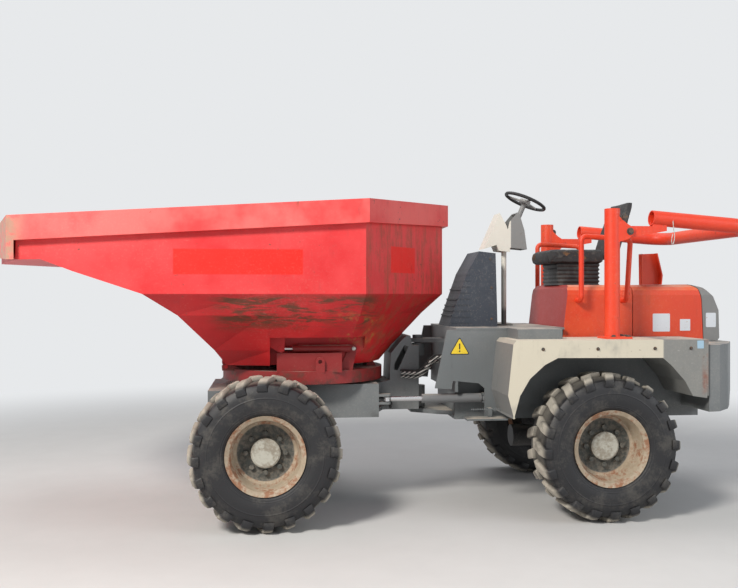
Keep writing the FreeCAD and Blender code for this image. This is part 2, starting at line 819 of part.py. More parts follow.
nodes.append(("front_chassis", front_chassis))

# Slewing bearing and the turntable above it

SLEW = at("slew_x")
slew_outer = rod("slew_disc", q("slew_ring_radius"), q("slew_ring_top") - q("slew_ring_bottom"),
                 SLEW, 0, q("slew_ring_bottom"))
slew_hole = rod("slew_hole", q("slew_ring_bore"), 200, SLEW, 0, 900)
slew_ring = cut("slew_ring", slew_outer, slew_hole)
nodes.append(("slew_ring", slew_ring))

table_disc = rod("table_disc", q("table_radius"), q("table_top") - q("table_bottom"),
                 SLEW, 0, q("table_bottom"))
table_hollow = rod("table_hollow", q("table_radius") - q("table_skirt"),
                   q("table_top") - q("table_bottom") - q("table_lid"),
                   SLEW, 0, q("table_bottom"))
table_foot = rod("table_foot", q("slew_ring_radius") - 20,
                 q("table_top") - q("table_bottom"), SLEW, 0, q("table_bottom"))
table_hole = rod("table_hole", q("table_bore"), 400, SLEW, 0, 900)
table_shell = cut("table_bored",
                  fuse("table_round", [cut("table_skirted", table_disc, table_hollow), table_foot]),
                  table_hole)
table_cheeks = []
for tag, hand in (("left", 1), ("right", -1)):
    table_cheeks.append(box("table_side_" + tag, at("table_side_rear"), at("table_side_front"),
                            q("table_side_y") * hand - q("table_side_thick") / 2,
                            q("table_side_y") * hand + q("table_side_thick") / 2,
                            q("table_top") - 10, q("table_side_top")))
    foot_y = (q("ram_y") - q("ram_barrel_radius") - q("ram_side_gap")
              - q("ram_foot_thick") / 2) * hand
    table_cheeks.append(across("ram_foot_plate_" + tag,
                               [(at("ram_foot_x") + 110, q("table_top") - 10),
                                (at("ram_foot_x") + 20, q("ram_z") + 24),
                                (at("ram_foot_x") - 20, q("ram_z") + 24),
                                (at("ram_foot_x") - 26, q("ram_z") - 20),
                                (at("ram_foot_x") + 5, q("table_top") - 10)],
                               q("ram_foot_thick"), foot_y))
    table_cheeks.append(pin_across("ram_foot_pin_" + tag, q("ram_boss_radius") / 2, 68,
                                   at("ram_foot_x"), (q("ram_y") - 4) * hand, q("ram_z")))
    lug_mid = q("tip_lug_y") * hand
    table_cheeks.append(across("tip_lug_" + tag,
                               [(at("tip_x") - 150, q("table_top") - 12),
                                (at("tip_x") + 30, q("table_top") - 12),
                                (at("tip_x") + 34, q("tip_z") + 6),
                                (at("tip_x") + 14, q("tip_z") + 17),
                                (at("tip_x"), q("tip_z") + 22),
                                (at("tip_x") - 14, q("tip_z") + 17),
                                (at("tip_x") - 60, q("tip_z") + 4)],
                               q("tip_lug_thick"), lug_mid))
    eye = pin_across("lash_eye_" + tag, q("lash_radius"), q("lash_thick"), at("lash_x"),
                     (q("table_radius") - 16) * hand, q("lash_z"))
    stem = box("lash_stem_" + tag, at("lash_x") - q("lash_radius"),
               at("lash_x") + q("lash_radius"),
               (q("table_radius") - 16) * hand - q("lash_thick") / 2,
               (q("table_radius") - 16) * hand + q("lash_thick") / 2,
               q("table_top") - 10, q("lash_z"))
    eye_hole = pin_across("lash_hole_" + tag, q("lash_bore"), 60, at("lash_x"),
                          (q("table_radius") - 16) * hand, q("lash_z"))
    table_cheeks.append(cut("lash_" + tag, fuse("lash_body_" + tag, [eye, stem]), eye_hole))
for tag, hand in (("left", 1), ("right", -1)):
    table_cheeks.append(across("rest_cheek_" + tag,
                               [(at("rest_rear_x"), q("table_top") - 10),
                                (at("rest_rear_x"), q("rest_top") - 30),
                                (at("rest_rear_x") + 20, q("rest_top")),
                                (at("rest_front_x"), q("rest_top")),
                                (at("rest_front_x"), q("table_top") - 10)],
                               q("rest_thick"), q("rest_half") * hand))
table_cheeks.append(box("rest_shelf", at("rest_rear_x") + 20, at("rest_front_x"),
                        -q("rest_half"), q("rest_half"), q("rest_top") - q("rest_thick"),
                        q("rest_top")))
tip_bore = pin_across("tip_bore", q("tip_pin_radius") + q("tip_bush_gap"), 2000,
                      at("tip_x"), 0, q("tip_z"))
turntable = cut("turntable", fuse("turntable_whole", [table_shell] + table_cheeks), tip_bore)
nodes.append(("turntable", turntable))

# Skip: a folded hopper that widens from a small floor to upright walls, with a rising chute


def offset_plan(flat, out):
    """Straight plan corners moved outward by a distance, edge by edge."""
    count = len(flat)
    lines = []
    for i in range(count):
        (ax, ay), (bx, by) = flat[i], flat[(i + 1) % count]
        length = math.hypot(bx - ax, by - ay)
        nx, ny = (by - ay) / length, -(bx - ax) / length
        lines.append((nx, ny, nx * ax + ny * ay + out))
    moved = []
    for i in range(count):
        ax, ay, a_far = lines[i - 1]
        bx, by, b_far = lines[i]
        cross = ax * by - ay * bx
        if abs(cross) < 1e-6:
            moved.append((flat[i][0] + bx * out, flat[i][1] + by * out))
            continue
        moved.append(((a_far * by - b_far * ay) / cross, (ax * b_far - bx * a_far) / cross))
    return moved


def hopper(inset):
    """The folded hopper between its sections, in flat facets, moved in by the wall."""
    sections = []
    for name, height in (("floor_ring", "skip_floor_z"), ("low_ring", "skip_bend_low_z"),
                         ("high_ring", "skip_bend_high_z"), ("crease_ring", "skip_crease_z")):
        flat = [(p.x, p.y) for p in ring_of(name, Size.of(0))]
        up = numbers[height]
        sections.append([Vector(x, y, up) for x, y in offset_plan(flat, -inset)])
    count = len(sections[0])
    faces = []
    for low, high in zip(sections, sections[1:]):
        for i in range(count):
            j = (i + 1) % count
            for three in ((low[i], low[j], high[j]), (low[i], high[j], high[i])):
                faces.append(Part.Face(Part.makePolygon(list(three) + [three[0]])))
    for cap in (sections[0], sections[-1]):
        faces.append(Part.Face(Part.makePolygon(cap + [cap[0]])))
    solid = Part.Solid(Part.Shell(faces))
    if solid.Volume < 0:
        solid.reverse()
    return solid


def prism(flat, low, high):
    """Plan corners raised from low to high."""
    corners = [Vector(x, y, low) for x, y in flat]
    face = Part.Face(Part.makePolygon(corners + [corners[0]]))
    return face.extrude(Vector(0, 0, high - low))


def side_prism(profile, half):
    """Side-view corners swept across the machine, both ways from the middle."""
    corners = [Vector(x, -half, z) for x, z in profile]
    face = Part.Face(Part.makePolygon(corners + [corners[0]]))
    return face.extrude(Vector(0, 2 * half, 0))


wall = numbers["skip_wall"]
half = numbers["skip_half"]
crease = numbers["skip_crease_z"]
chute = [(number(at("chute_" + row[0] + "_x")), numbers["chute_" + row[0] + "_z"])
         for row in CHUTE]
top_fall = ((numbers["rim_rear_z"] - numbers["rim_corner_z"])
            / (numbers["rim_corner_x"] - numbers["rim_rear_x"]))


def top_at(x):
    return numbers["rim_corner_z"] + (number(at("rim_corner_x")) - x) * top_fall


def skip_plan(out):
    """The upright walls in plan, moved outward: nose, left side, back, right side."""
    nose_x = number(at("rim_corner_x")) - 48
    apex_x = number(at("nose_apex_x")) - 48
    left = [(nose_x, half), (number(at("crease_ring_corner_x")), half),
            (number(at("crease_ring_tail_x")), numbers["crease_ring_tail_y"])]
    right = [(x, -y) for x, y in reversed(left)]
    return offset_plan([(apex_x, 0)] + left + right, out)


far_front = number(at("nose_apex_x")) + 200
far_back = number(at("crease_ring_tail_x")) - 200
under = [chute[0]] + chute[1:] + [(far_front, chute[-1][1]), (far_front, crease - 300),
                                  (chute[0][0], crease - 300)]
chute_rise = (chute[1][1] - chute[0][1]) / (chute[1][0] - chute[0][0])
bend_x = chute[0][0] - wall
over_inside = ([(bend_x, crease + wall * (1 - chute_rise))]
               + [(x, z + wall) for x, z in under[1:5]]
               + [(far_front, crease - 300), (bend_x, crease - 300)])
outer = hopper(0)
outer = outer.fuse(prism(skip_plan(0), crease, 2600).cut(side_prism(under, 1200)))
inner = hopper(wall)
inner_top = prism(skip_plan(-wall), crease, 2700).cut(side_prism(over_inside, 1200))
inner = inner.fuse(inner_top)
floor_slice = prism([(far_back, -1300), (far_front, -1300), (far_front, 1300),
                     (far_back, 1300)], 900, numbers["skip_floor_z"] + wall)
inner = inner.cut(floor_slice)
pocket_sizes = [number(at("pocket_rear")), number(at("pocket_front")), numbers["pocket_y"],
                numbers["pocket_top"]]
for hand in (1, -1):
    low_y = pocket_sizes[2] if hand > 0 else -1200
    high_y = 1200 if hand > 0 else -pocket_sizes[2]
    pocket = Part.makeBox(pocket_sizes[1] - pocket_sizes[0], high_y - low_y, 600,
                          Vector(pocket_sizes[0], low_y, pocket_sizes[3] - 600))
    lining = Part.makeBox(pocket_sizes[1] - pocket_sizes[0] + 2 * wall, high_y - low_y + wall,
                          600 + wall, Vector(pocket_sizes[0] - wall,
                                             low_y - (wall if hand > 0 else 0),
                                             pocket_sizes[3] - 600))
    outer = outer.cut(pocket)
    inner = inner.cut(lining)
top_cut = side_prism([(far_back, top_at(far_back)), (far_front, top_at(far_front)),
                      (far_front, 3000), (far_back, 3000)], 1300)
skip_solid = outer.cut(inner).cut(top_cut).removeSplitter()
skip_sheet = shaped("skip_sheet", skip_solid)
skip_bits = [skip_sheet]
for tag, hand in (("left", 1), ("right", -1)):
    gusset_y = (q("ram_y") + q("ram_eye_thick") / 2 + 12) * hand
    skip_bits.append(across("skip_gusset_" + tag,
                            [(at("pocket_front") + 6, q("pocket_top") + 6),
                             (at("ram_eye_x") - 30, q("pocket_top") + 6),
                             (at("ram_eye_x") - 26, q("ram_z") - 10),
                             (at("ram_eye_x") - 10, q("ram_z") - 26),
                             (at("ram_eye_x") + 20, q("ram_z") - 22),
                             (at("pocket_front") + 6, q("ram_z") + 20)],
                            14, gusset_y))
    skip_bits.append(pin_across("skip_gusset_pin_" + tag, q("ram_boss_radius"), 12,
                                at("ram_eye_x"), (q("ram_y") + q("ram_eye_thick") / 2 + 22) * hand,
                                q("ram_z")))
    ear_mid = (q("tip_lug_y") - q("tip_lug_thick") - q("tip_lug_side_gap")) * hand
    skip_bits.append(across("skip_ear_" + tag,
                            [(at("tip_x") - 110, q("skip_floor_z") + 4),
                             (at("tip_x") - 20, q("tip_z") - 14),
                             (at("tip_x") + 20, q("tip_z") - 14),
                             (at("tip_x") + 34, q("tip_z") + 30),
                             (at("tip_x") + 30, q("skip_floor_z") + 50),
                             (at("tip_x") - 60, q("skip_floor_z") + 4)],
                            q("tip_lug_thick"), ear_mid))
    skip_bits.append(pin_across("tip_pin_" + tag, q("tip_pin_radius"), 60, at("tip_x"),
                                (q("tip_lug_y") - 10) * hand, q("tip_z")))
skip_shell = fuse("skip_shell", skip_bits)
nodes.append(("skip_shell", skip_shell))


def rim_band():
    """The folded edge round the skip: side and rear runs, and the pointed nose plate."""
    gap = numbers["seat_gap"]
    rim_half = numbers["rim_half"]
    nose_x = number(at("rim_corner_x"))
    apex_x = number(at("nose_apex_x"))
    outer_run = skip_plan(rim_half - half)[2:6]
    inner_run = skip_plan(gap)[2:6]
    plan = ([(nose_x, rim_half)] + outer_run
            + [(nose_x, -rim_half), (nose_x - 60, -half - gap)]
            + list(reversed(inner_run)) + [(nose_x - 60, half + gap)])
    band = prism(plan, 1500, 2600)
    low_cut = side_prism([(far_back, top_at(far_back) - numbers["rim_height"]),
                          (far_front, top_at(far_front) - numbers["rim_height"]),
                          (far_front, 1000), (far_back, 1000)], 1300)
    band = band.cut(low_cut)
    nose_plan = [(nose_x, rim_half), (apex_x, 0), (nose_x, -rim_half),
                 (nose_x - 48 + gap, -rim_half), (apex_x - 48 + gap, 0),
                 (nose_x - 48 + gap, rim_half)]
    nose = prism(nose_plan, 1500, 2600)
    low = numbers["nose_low_z"]
    rise = numbers["nose_rise"]
    wedge_face = Part.Face(Part.makePolygon([Vector(nose_x - 400, -rim_half - 50, 1000),
                                             Vector(nose_x - 400, rim_half + 50, 1000),
                                             Vector(nose_x - 400, rim_half + 50, low - 3),
                                             Vector(nose_x - 400, 0, low + rise),
                                             Vector(nose_x - 400, -rim_half - 50, low - 3),
                                             Vector(nose_x - 400, -rim_half - 50, 1000)]))
    nose = nose.cut(wedge_face.extrude(Vector(1200, 0, 0)))
    return band.fuse(nose).cut(top_cut).removeSplitter()


skip_rim = shaped("skip_rim", rim_band())
nodes.append(("skip_rim", skip_rim))

# Tipping rams in the pockets: barrels on the turntable, rods to the skip

barrels = []
rods = []
for tag, hand in (("left", 1), ("right", -1)):
    y_mid = q("ram_y") * hand
    barrel = rod("tip_barrel_tube_" + tag, q("ram_barrel_radius"), q("ram_barrel_length"),
                 at("ram_foot_x") + 24, y_mid, q("ram_z"), "X")
    foot = pin_across("tip_barrel_eye_" + tag, q("ram_eye_radius"), q("ram_eye_thick") - 4,
                      at("ram_foot_x"), y_mid, q("ram_z"))
    link = box("tip_barrel_neck_" + tag, at("ram_foot_x"), at("ram_foot_x") + 30,
               y_mid - 13, y_mid + 13, q("ram_z") - 20, q("ram_z") + 20)
    foot_hole = pin_across("tip_barrel_hole_" + tag, q("ram_boss_radius") / 2 + q("tip_bush_gap"),
                           80, at("ram_foot_x"), y_mid, q("ram_z"))
    rod_hole = rod("tip_barrel_bore_" + tag, q("ram_rod_radius") + 0.3, 380,
                   at("ram_foot_x") + 84, y_mid, q("ram_z"), "X")
    barrels.append(cut("tip_barrel_" + tag,
                       cut("tip_barrel_solid_" + tag,
                           fuse("tip_barrel_body_" + tag, [barrel, foot, link]), foot_hole),
                       rod_hole))
    shaft = rod("tip_rod_shaft_" + tag, q("ram_rod_radius"),
                at("ram_eye_x") - at("ram_foot_x") - 100, at("ram_foot_x") + 92, y_mid,
                q("ram_z"), "X")
    eye = pin_across("tip_rod_eye_" + tag, q("ram_eye_radius"), q("ram_eye_thick") - 6,
                     at("ram_eye_x"), y_mid, q("ram_z"))
    rods.append(fuse("tip_rod_" + tag, [shaft, eye]))
tip_barrels = group("tip_ram_barrels", barrels)
tip_rods = group("tip_ram_rods", rods)
nodes += [("tip_ram_barrels", tip_barrels), ("tip_ram_rods", tip_rods)]

# Steering ram on the left

steer_tube = rod("steer_tube", q("steer_barrel_radius"), q("steer_barrel_length"),
                 at("steer_foot_x") + 34, q("steer_y"), q("steer_z"), "X")
steer_foot = rod("steer_foot", q("steer_eye_radius"), q("steer_eye_thick"),
                 at("steer_foot_x"), q("steer_y"), q("steer_z") - q("steer_eye_thick") / 2)
steer_neck = box("steer_neck", at("steer_foot_x"), at("steer_foot_x") + 40,
                 q("steer_y") - 24, q("steer_y") + 24, q("steer_z") - 14, q("steer_z") + 14)
steer_foot_hole = rod("steer_foot_hole", 16.3, 100, at("steer_foot_x"), q("steer_y"),
                      q("steer_z") - 50)
steer_bore = rod("steer_bore", q("steer_rod_radius") + 0.3, 480, at("steer_foot_x") + 46,
                 q("steer_y"), q("steer_z"), "X")
steer_barrel = cut("steer_barrel_open",
                   cut("steer_barrel_solid",
                       fuse("steer_barrel_body", [steer_tube, steer_foot, steer_neck]),
                       steer_foot_hole), steer_bore)
steer_shaft = rod("steer_shaft", q("steer_rod_radius"),
                  at("steer_eye_x") - at("steer_foot_x") - q("steer_rod_inset") - 20,
                  at("steer_foot_x") + q("steer_rod_inset"),
                  q("steer_y"), q("steer_z"), "X")
steer_eye = rod("steer_eye", q("steer_eye_radius"), q("steer_eye_thick"), at("steer_eye_x"),
                q("steer_y"), q("steer_z") - q("steer_eye_thick") / 2)
steer_rod = fuse("steer_rod_whole", [steer_shaft, steer_eye])
nodes += [("steer_barrel", steer_barrel), ("steer_rod", steer_rod)]

# Rear frame: side plates, beams, the pivot's plates and pins

side_left = across("rear_side_left", side_view("side_plate"), q("plate_thick"),
                   q("rear_side_half") - q("plate_thick") / 2)
side_right = mirrored("rear_side_right", side_left)
wall_left = across("arch_wall_left",
                   [(at("side_plate_rear_top_x") + 40, q("guard_top") - 12),
                    (at("side_plate_rear_mid_x") + 30, 800),
                    (at("beam_rear"), 800), (at("beam_rear"), q("weight_front_top_z")),
                    (at("weight_front_top_x"), q("guard_top") - 30),
                    (at("weight_front_top_x"), q("guard_top") - 12)],
                   q("plate_thick"), q("rear_side_half") - q("plate_thick") / 2)
wall_right = mirrored("arch_wall_right", wall_left)
beam_left = box("beam_left", at("beam_rear"), at("beam_front"), q("beam_y"),
                q("beam_y") + q("beam_thick"), q("beam_bottom"), q("beam_top"))
beam_right = mirrored("beam_right", beam_left)
front_wall = box("front_wall", at("deck_front") - 20, at("deck_front"),
                 -q("rear_side_half") + 2, q("rear_side_half") - 2, 900, 1375)
beam_tie = box("beam_tie", at("beam_front") - 20, at("beam_front"),
               -q("beam_y") - 2, q("beam_y") + 2, q("beam_bottom"), q("beam_top"))
belly = box("belly", at("beam_rear"), at("steer_foot_x") - 75, -q("rear_side_half") + 2,
            q("rear_side_half") - 2, q("belly_z") - q("belly_thick"), q("belly_z"))
belly_nose = box("belly_nose", at("steer_foot_x") - 80, at("beam_front"), -q("beam_y") - 2,
                 q("beam_y") + 2, q("belly_z") - q("belly_thick"), q("belly_z"))
sills = []
for tag, hand in (("left", 1), ("right", -1)):
    inner_y = (q("hood_half") - q("sill_width")) * hand
    outer_y = (q("rear_side_half") - 2) * hand
    low_y, high_y = (inner_y, outer_y) if hand > 0 else (outer_y, inner_y)
    sills.append(box("sill_" + tag, at("beam_rear") - q("sill_overhang"),
                     at("box_cover_front_low_x"), low_y, high_y,
                     q("hood_bottom") - q("sill_thick"), q("hood_bottom") - GAP))
lower_plate = upward("lower_plate",
                     [(PIVOT + 70, -80), (PIVOT + 70, 80), (PIVOT - 120, 230),
                      (at("beam_front") - 120, 340), (at("beam_front") - 120, -340),
                      (PIVOT - 120, -230)],
                     q("lower_plate_thick"), q("lower_plate_z"))
lower_web = box("lower_web", at("beam_front") - 120, at("beam_front"),
                -340, 340, q("lower_plate_z"), 800)
upper_lug = upward("upper_lug",
                   [(PIVOT + 62, -50), (PIVOT + 62, 50), (at("deck_front") - 10, 120),
                    (at("deck_front") - 10, -120)],
                   q("upper_lug_thick"), q("upper_lug_z"))
pin_low = rod("pivot_pin_low", q("pivot_pin_radius"), 90, PIVOT, 0, q("lower_plate_z"))
pin_high = rod("pivot_pin_high", q("pivot_pin_radius"), 110, PIVOT, 0,
               q("upper_lug_z") - 60)
pin_cap = rod("pivot_pin_cap", q("pivot_pin_radius") + 14, 30, PIVOT, 0,
              q("upper_lug_z") + q("upper_lug_thick") - 2)
steer_bracket = [box("steer_bracket_" + tag, at("steer_foot_x") - 60, at("steer_foot_x") + 26,
                     q("beam_y") + 20, q("steer_y") + 30, q("steer_z") + low,
                     q("steer_z") + high)
                 for tag, low, high in (("low", -37, -19), ("high", 19, 37))]
steer_back = box("steer_back", at("steer_foot_x") - 75, at("steer_foot_x") - 50,
                 q("beam_y") + 20, q("rear_side_half") - 4, q("steer_z") - 50,
                 q("steer_z") + 50)
steer_pin = rod("steer_pin", 16, 76, at("steer_foot_x"), q("steer_y"), q("steer_z") - 38)
tail_tie = box("tail_tie", at("beam_rear"), at("beam_rear") + 30, -q("rear_side_half") + 2,
               q("rear_side_half") - 2, q("beam_bottom") + 60, q("weight_front_top_z"))
rear_parts = [side_left, side_right, wall_left, wall_right, beam_left, beam_right, front_wall,
              beam_tie, belly, belly_nose, sills[0], sills[1], lower_plate, lower_web,
              upper_lug, pin_low, pin_high, pin_cap, steer_back, steer_pin, tail_tie]
rear_parts += steer_bracket
rear_frame = fuse("rear_frame_whole", rear_parts)
nodes.append(("rear_frame", rear_frame))

# Operator's deck
deck_side = q("rear_side_half") + q("deck_lap")
deck = box("deck", at("deck_rear"), at("deck_front"), -deck_side, deck_side,
           q("deck_top") - q("deck_thick") + GAP, q("deck_top"))
deck_wing = upward("deck_wing",
                   [(at("wing_front"), q("rear_side_half") + GAP),
                    (at("wing_front"), q("deck_half")), (at("wing_rear"), q("deck_half")),
                    (at("wing_rear"), q("rear_side_half") + GAP)],
                   q("deck_top") - q("guard_top") - GAP, q("guard_top") + GAP)
deck_node = fuse("platform", [deck, deck_wing, mirrored("deck_wing_right", deck_wing)])
nodes.append(("platform", deck_node))


# Mudguards: a skirt, a top and a liner that follows the arch

def mudguard(name):
    skirt = across(name + "_skirt", side_view("skirt"), q("guard_skin"),
                   q("guard_outer") - q("guard_skin") / 2)
    reach = q("guard_outer") - q("guard_inner")
    mid = (q("guard_outer") + q("guard_inner")) / 2
    lid = box(name + "_lid", at("skirt_rear_top_x"), at("skirt_front_top_x"),
              q("guard_inner"), q("guard_outer"), q("guard_top") - q("guard_skin"),
              q("guard_top"))
    front_face = across(name + "_front",
                        [(at("skirt_front_top_x"), q("guard_top")),
                         (at("skirt_front_brow_x"), q("skirt_front_brow_z")),
                         (at("skirt_front_mid_x"), q("skirt_front_mid_z")),
                         (at("skirt_front_toe_x"), q("skirt_front_toe_z")),
                         (at("skirt_front_toe_x") - q("guard_skin"), q("skirt_front_toe_z")),
                         (at("skirt_front_mid_x") - q("guard_skin"), q("skirt_front_mid_z")),
                         (at("skirt_front_brow_x") - q("guard_skin"),
                          q("skirt_front_brow_z") - q("guard_skin")),
                         (at("skirt_front_top_x"), q("guard_top") - q("guard_skin"))],
                        reach, mid)
    names = ("front_toe", "arch_a", "arch_b", "arch_c", "arch_d", "arch_e", "arch_f",
             "arch_g", "arch_h")
    line = [(at("skirt_" + n + "_x"), q("skirt_" + n + "_z")) for n in names]
    raised = [(x, z + q("guard_skin") * 1.3) for x, z in line]
    raised[0] = (line[0][0] + q("guard_skin"), line[0][1])
    liner = across(name + "_liner", line + list(reversed(raised)), reach, mid)
    back = box(name + "_back", at("skirt_rear_top_x"), at("skirt_rear_top_x") + q("guard_skin"),
               q("guard_inner"), q("guard_outer"), 900, q("guard_top"))
    return fuse(name, [skirt, lid, front_face, liner, back])


guard_left = mudguard("mudguard_left_whole")
guard_right = mirrored("mudguard_right_whole", guard_left)
nodes += [("mudguard_left", guard_left), ("mudguard_right", guard_right)]

# Counterweight
weight = across("weight_block", side_view("weight"), q("weight_half") * 2, 0)
weight_trims = []
for tag, hand in (("left", 1), ("right", -1)):
    weight_trims.append(place(slab("weight_trim_" + tag, "XY",
                                   [(at("weight_front_low_x") - 60, q("weight_edge") * hand),
                                    (at("weight_bend_x"), q("weight_bend_y") * hand),
                                    (at("weight_rear_mid_x") - 5, q("weight_tail_y") * hand),
                                    (at("weight_rear_mid_x") - 5, q("weight_edge") * hand)],
                                   700), 0, 0, 700))
weight_inner = box("weight_inner", at("beam_rear") - GAP, at("weight_front_low_x") + 5,
                   -q("rear_side_half") - GAP, q("rear_side_half") + GAP, 700, 1400)
weight_shelf = box("weight_shelf", at("beam_rear") - q("sill_overhang") - GAP,
                   at("weight_front_low_x") + 5, -q("rear_side_half") - GAP,
                   q("rear_side_half") + GAP, q("hood_bottom") - q("sill_thick") - GAP, 1400)
weight_body = cut("weight_body",
                  cut("weight_rounded", weight, fuse("weight_trims", weight_trims)),
                  fuse("weight_room", [weight_inner, weight_shelf]))
hinge_parts = []
for tag, hand in (("left", 1), ("right", -1)):
    eye_y = q("hinge_y") * hand
    hinge_parts.append(pin_across("hinge_pin_" + tag, q("hinge_pin_radius"),
                                  q("hinge_eye_width") + q("hinge_lug_thick") * 2 + 4,
                                  at("hinge_x"), eye_y, q("hinge_z")))
    for i, side in enumerate((1, -1)):
        lug_y = eye_y + (q("hinge_eye_width") / 2 + q("hinge_lug_thick") / 2 + 1) * side
        hinge_parts.append(across("hinge_lug_" + tag + str(i),
                                  [(at("hinge_x") - 16, q("weight_rear_top_z") - 5),
                                   (at("hinge_x") - 12, q("hinge_z") + 12),
                                   (at("hinge_x") + 12, q("hinge_z") + 12),
                                   (at("hinge_x") + 12, q("weight_rear_top_z") - 5)],
                                  q("hinge_lug_thick"), lug_y))
counterweight = fuse("counterweight", [weight_body] + hinge_parts)
nodes.append(("counterweight", counterweight))

# Console, column and steering wheel
cowl = across("cowl_body", side_view("cowl"), q("cowl_half") * 2, 0)
cowl_ribs = []
for i, rib_z in enumerate((1470, 1510, 1550, 1600, 1680)):
    put("cowl_rib_height_" + "abcde"[i], rib_z)
doc.recompute()
for letter in "abcde":
    height = q("cowl_rib_height_" + letter)
    slope = (q("cowl_foot_front_x") - q("cowl_breast_x")) / (
        q("cowl_breast_z") - q("cowl_foot_front_z"))
    front = FRONT + q("cowl_foot_front_x") - (height - q("cowl_foot_front_z")) * slope
    cowl_ribs.append(box("cowl_rib_" + letter, front - 60, front + q("cowl_rib"),
                         -q("cowl_half") + 15, q("cowl_half") - 15, height, height + 12))
console = fuse("console", [cowl] + cowl_ribs)
nodes.append(("console", console))

knee = (at("column_x"), Size.of(0), q("column_knee_z"))
hub = (at("wheel_hub_x"), Size.of(0), q("wheel_hub_z"))
column_tube = bent_tube("column_tube", [(at("column_x"), 0, q("deck_top") + GAP), knee, hub],
                        q("column_radius"), 60)
column_aim = Vector(number(hub[0] - knee[0]), 0, number(hub[2] - knee[2])).normalize()
column_pad = box("column_flange", at("column_x") - 60, at("column_x") + 60, -60, 60,
                 q("deck_top") + GAP, q("deck_top") + 14)
covers = []
for tag, way in (("front", 1), ("rear", -1)):
    view = side_view(tag + "_petal")
    shell = across("petal_" + tag, view, q("petal_width"), 0)
    hollow = across("petal_hollow_" + tag,
                    [(x - q("petal_skin") * way, z - q("petal_skin")) for x, z in view],
                    q("petal_width") - q("petal_skin") * 2, 0)
    covers.append(cut("petal_shell_" + tag, shell, hollow))
steering_column = fuse("steering_column", [column_tube, column_pad] + covers)
nodes.append(("steering_column", steering_column))

hub_point = Vector(number(hub[0]), 0, number(hub[2]))
grip_corners = [Vector(numbers["wheel_ring_radius"]
                       + numbers["wheel_grip_radius"] * math.cos(math.radians(45 * i)),
                       0, numbers["wheel_grip_radius"] * math.sin(math.radians(45 * i)))
                for i in range(9)]
grip = Part.Face(Part.makePolygon(grip_corners)).revolve(Vector(0, 0, 0), Vector(0, 0, 1), 360)
grip.Placement = FreeCAD.Placement(hub_point + column_aim * 22,
                                   FreeCAD.Rotation(Vector(0, 0, 1), column_aim))
hub_disc = Part.makeCylinder(numbers["wheel_hub_radius"], 30, hub_point + column_aim * 0.3,
                             column_aim)
wheel_shape = grip.fuse(hub_disc)
for turn_degrees in (0, 120, 240):
    spoke_way = FreeCAD.Rotation(column_aim, turn_degrees).multVec(Vector(0, 1, 0))
    spoke = Part.makeCylinder(9, numbers["wheel_ring_radius"], hub_point + column_aim * 18,
                              spoke_way)
    wheel_shape = wheel_shape.fuse(spoke)
steering_wheel = shaped("steering_wheel", wheel_shape)
nodes.append(("steering_wheel", steering_wheel))

# Seat on the engine's fixed cover, the tilting hood and its grille
suspension = box("seat_suspension", at("cushion_low_rear_x") + 60,
                 at("cushion_low_front_x") - 90, -190, 190,
                 q("box_cover_rear_top_z") + GAP, q("cushion_low_front_z") - GAP)
nodes.append(("seat_suspension", suspension))
cushion = across("seat_cushion", side_view("cushion"), q("seat_half") * 2, 0)
nodes.append(("seat_cushion", cushion))
backrest = across("seat_backrest", side_view("backrest"), q("seat_half") * 2 - 60, 0)
nodes.append(("seat_backrest", backrest))



def shouldered(name, view, room):
    """A side-view block whose upper long edges are rounded in the end view."""
    inset = Size.of(room)
    half = q("hood_half") - inset
    steps = (("low", 0, 85), ("knee", 14, 48), ("turn", 40, 22), ("brow", 78, 6), ("flat", 122, 0))
    crown = q("hood_rear_top_z") - inset
    corners = [(half - Size.of(back), crown - Size.of(down)) for step, back, down in steps]
    corners = [(half, Size.of(1100))] + corners
    corners += [(-y, z) for y, z in reversed(corners)]
    arch = place(slab(name + "_arch", "YZ", corners, 3000), REAR - 1500, 0, 0)
    block = across(name + "_block", view, half * 2, 0)
    return meet(name, [block, arch])


cover_solid = shouldered("cover_solid", side_view("box_cover"), 0)
cover_room = [(at("box_cover_front_low_x") - q("hood_skin"), Size.of(1200)),
              (at("box_cover_front_low_x") - q("hood_skin"), q("box_cover_front_low_z")),
              (at("box_cover_front_top_x") - q("hood_skin"), q("box_cover_front_top_z")),
              (at("box_cover_shoulder_x") - q("hood_skin"), q("box_cover_shoulder_z")
               - q("hood_skin")),
              (at("box_cover_rear_top_x") - 20, q("box_cover_rear_top_z") - q("hood_skin")),
              (at("box_cover_rear_low_x") - 20, Size.of(1200))]
cover_void = shouldered("cover_void", cover_room, q("hood_skin"))
engine_cover = cut("engine_cover", cover_solid, cover_void)
nodes.append(("engine_cover", engine_cover))

hood_solid = shouldered("hood_solid", side_view("hood"), 0)
hood_void = shouldered("hood_void",
                   [(at("hood_front_low_x") + 20, Size.of(1200)),
                    (at("hood_front_low_x") + 20, q("hood_front_top_z") - q("hood_skin")),
                    (at("hood_rear_top_x"), q("hood_rear_top_z") - q("hood_skin") - 8),
                    (at("hood_rear_bow_x") + q("hood_skin"), q("hood_rear_bow_z") - 6),
                    (at("hood_rear_mid_x") + q("hood_skin"), q("hood_rear_mid_z")),
                    (at("hood_rear_low_x") + q("hood_skin"), Size.of(1200))],
                   q("hood_skin"))
hood = cut("hood_whole", hood_solid, hood_void)
nodes.append(("hood", hood))

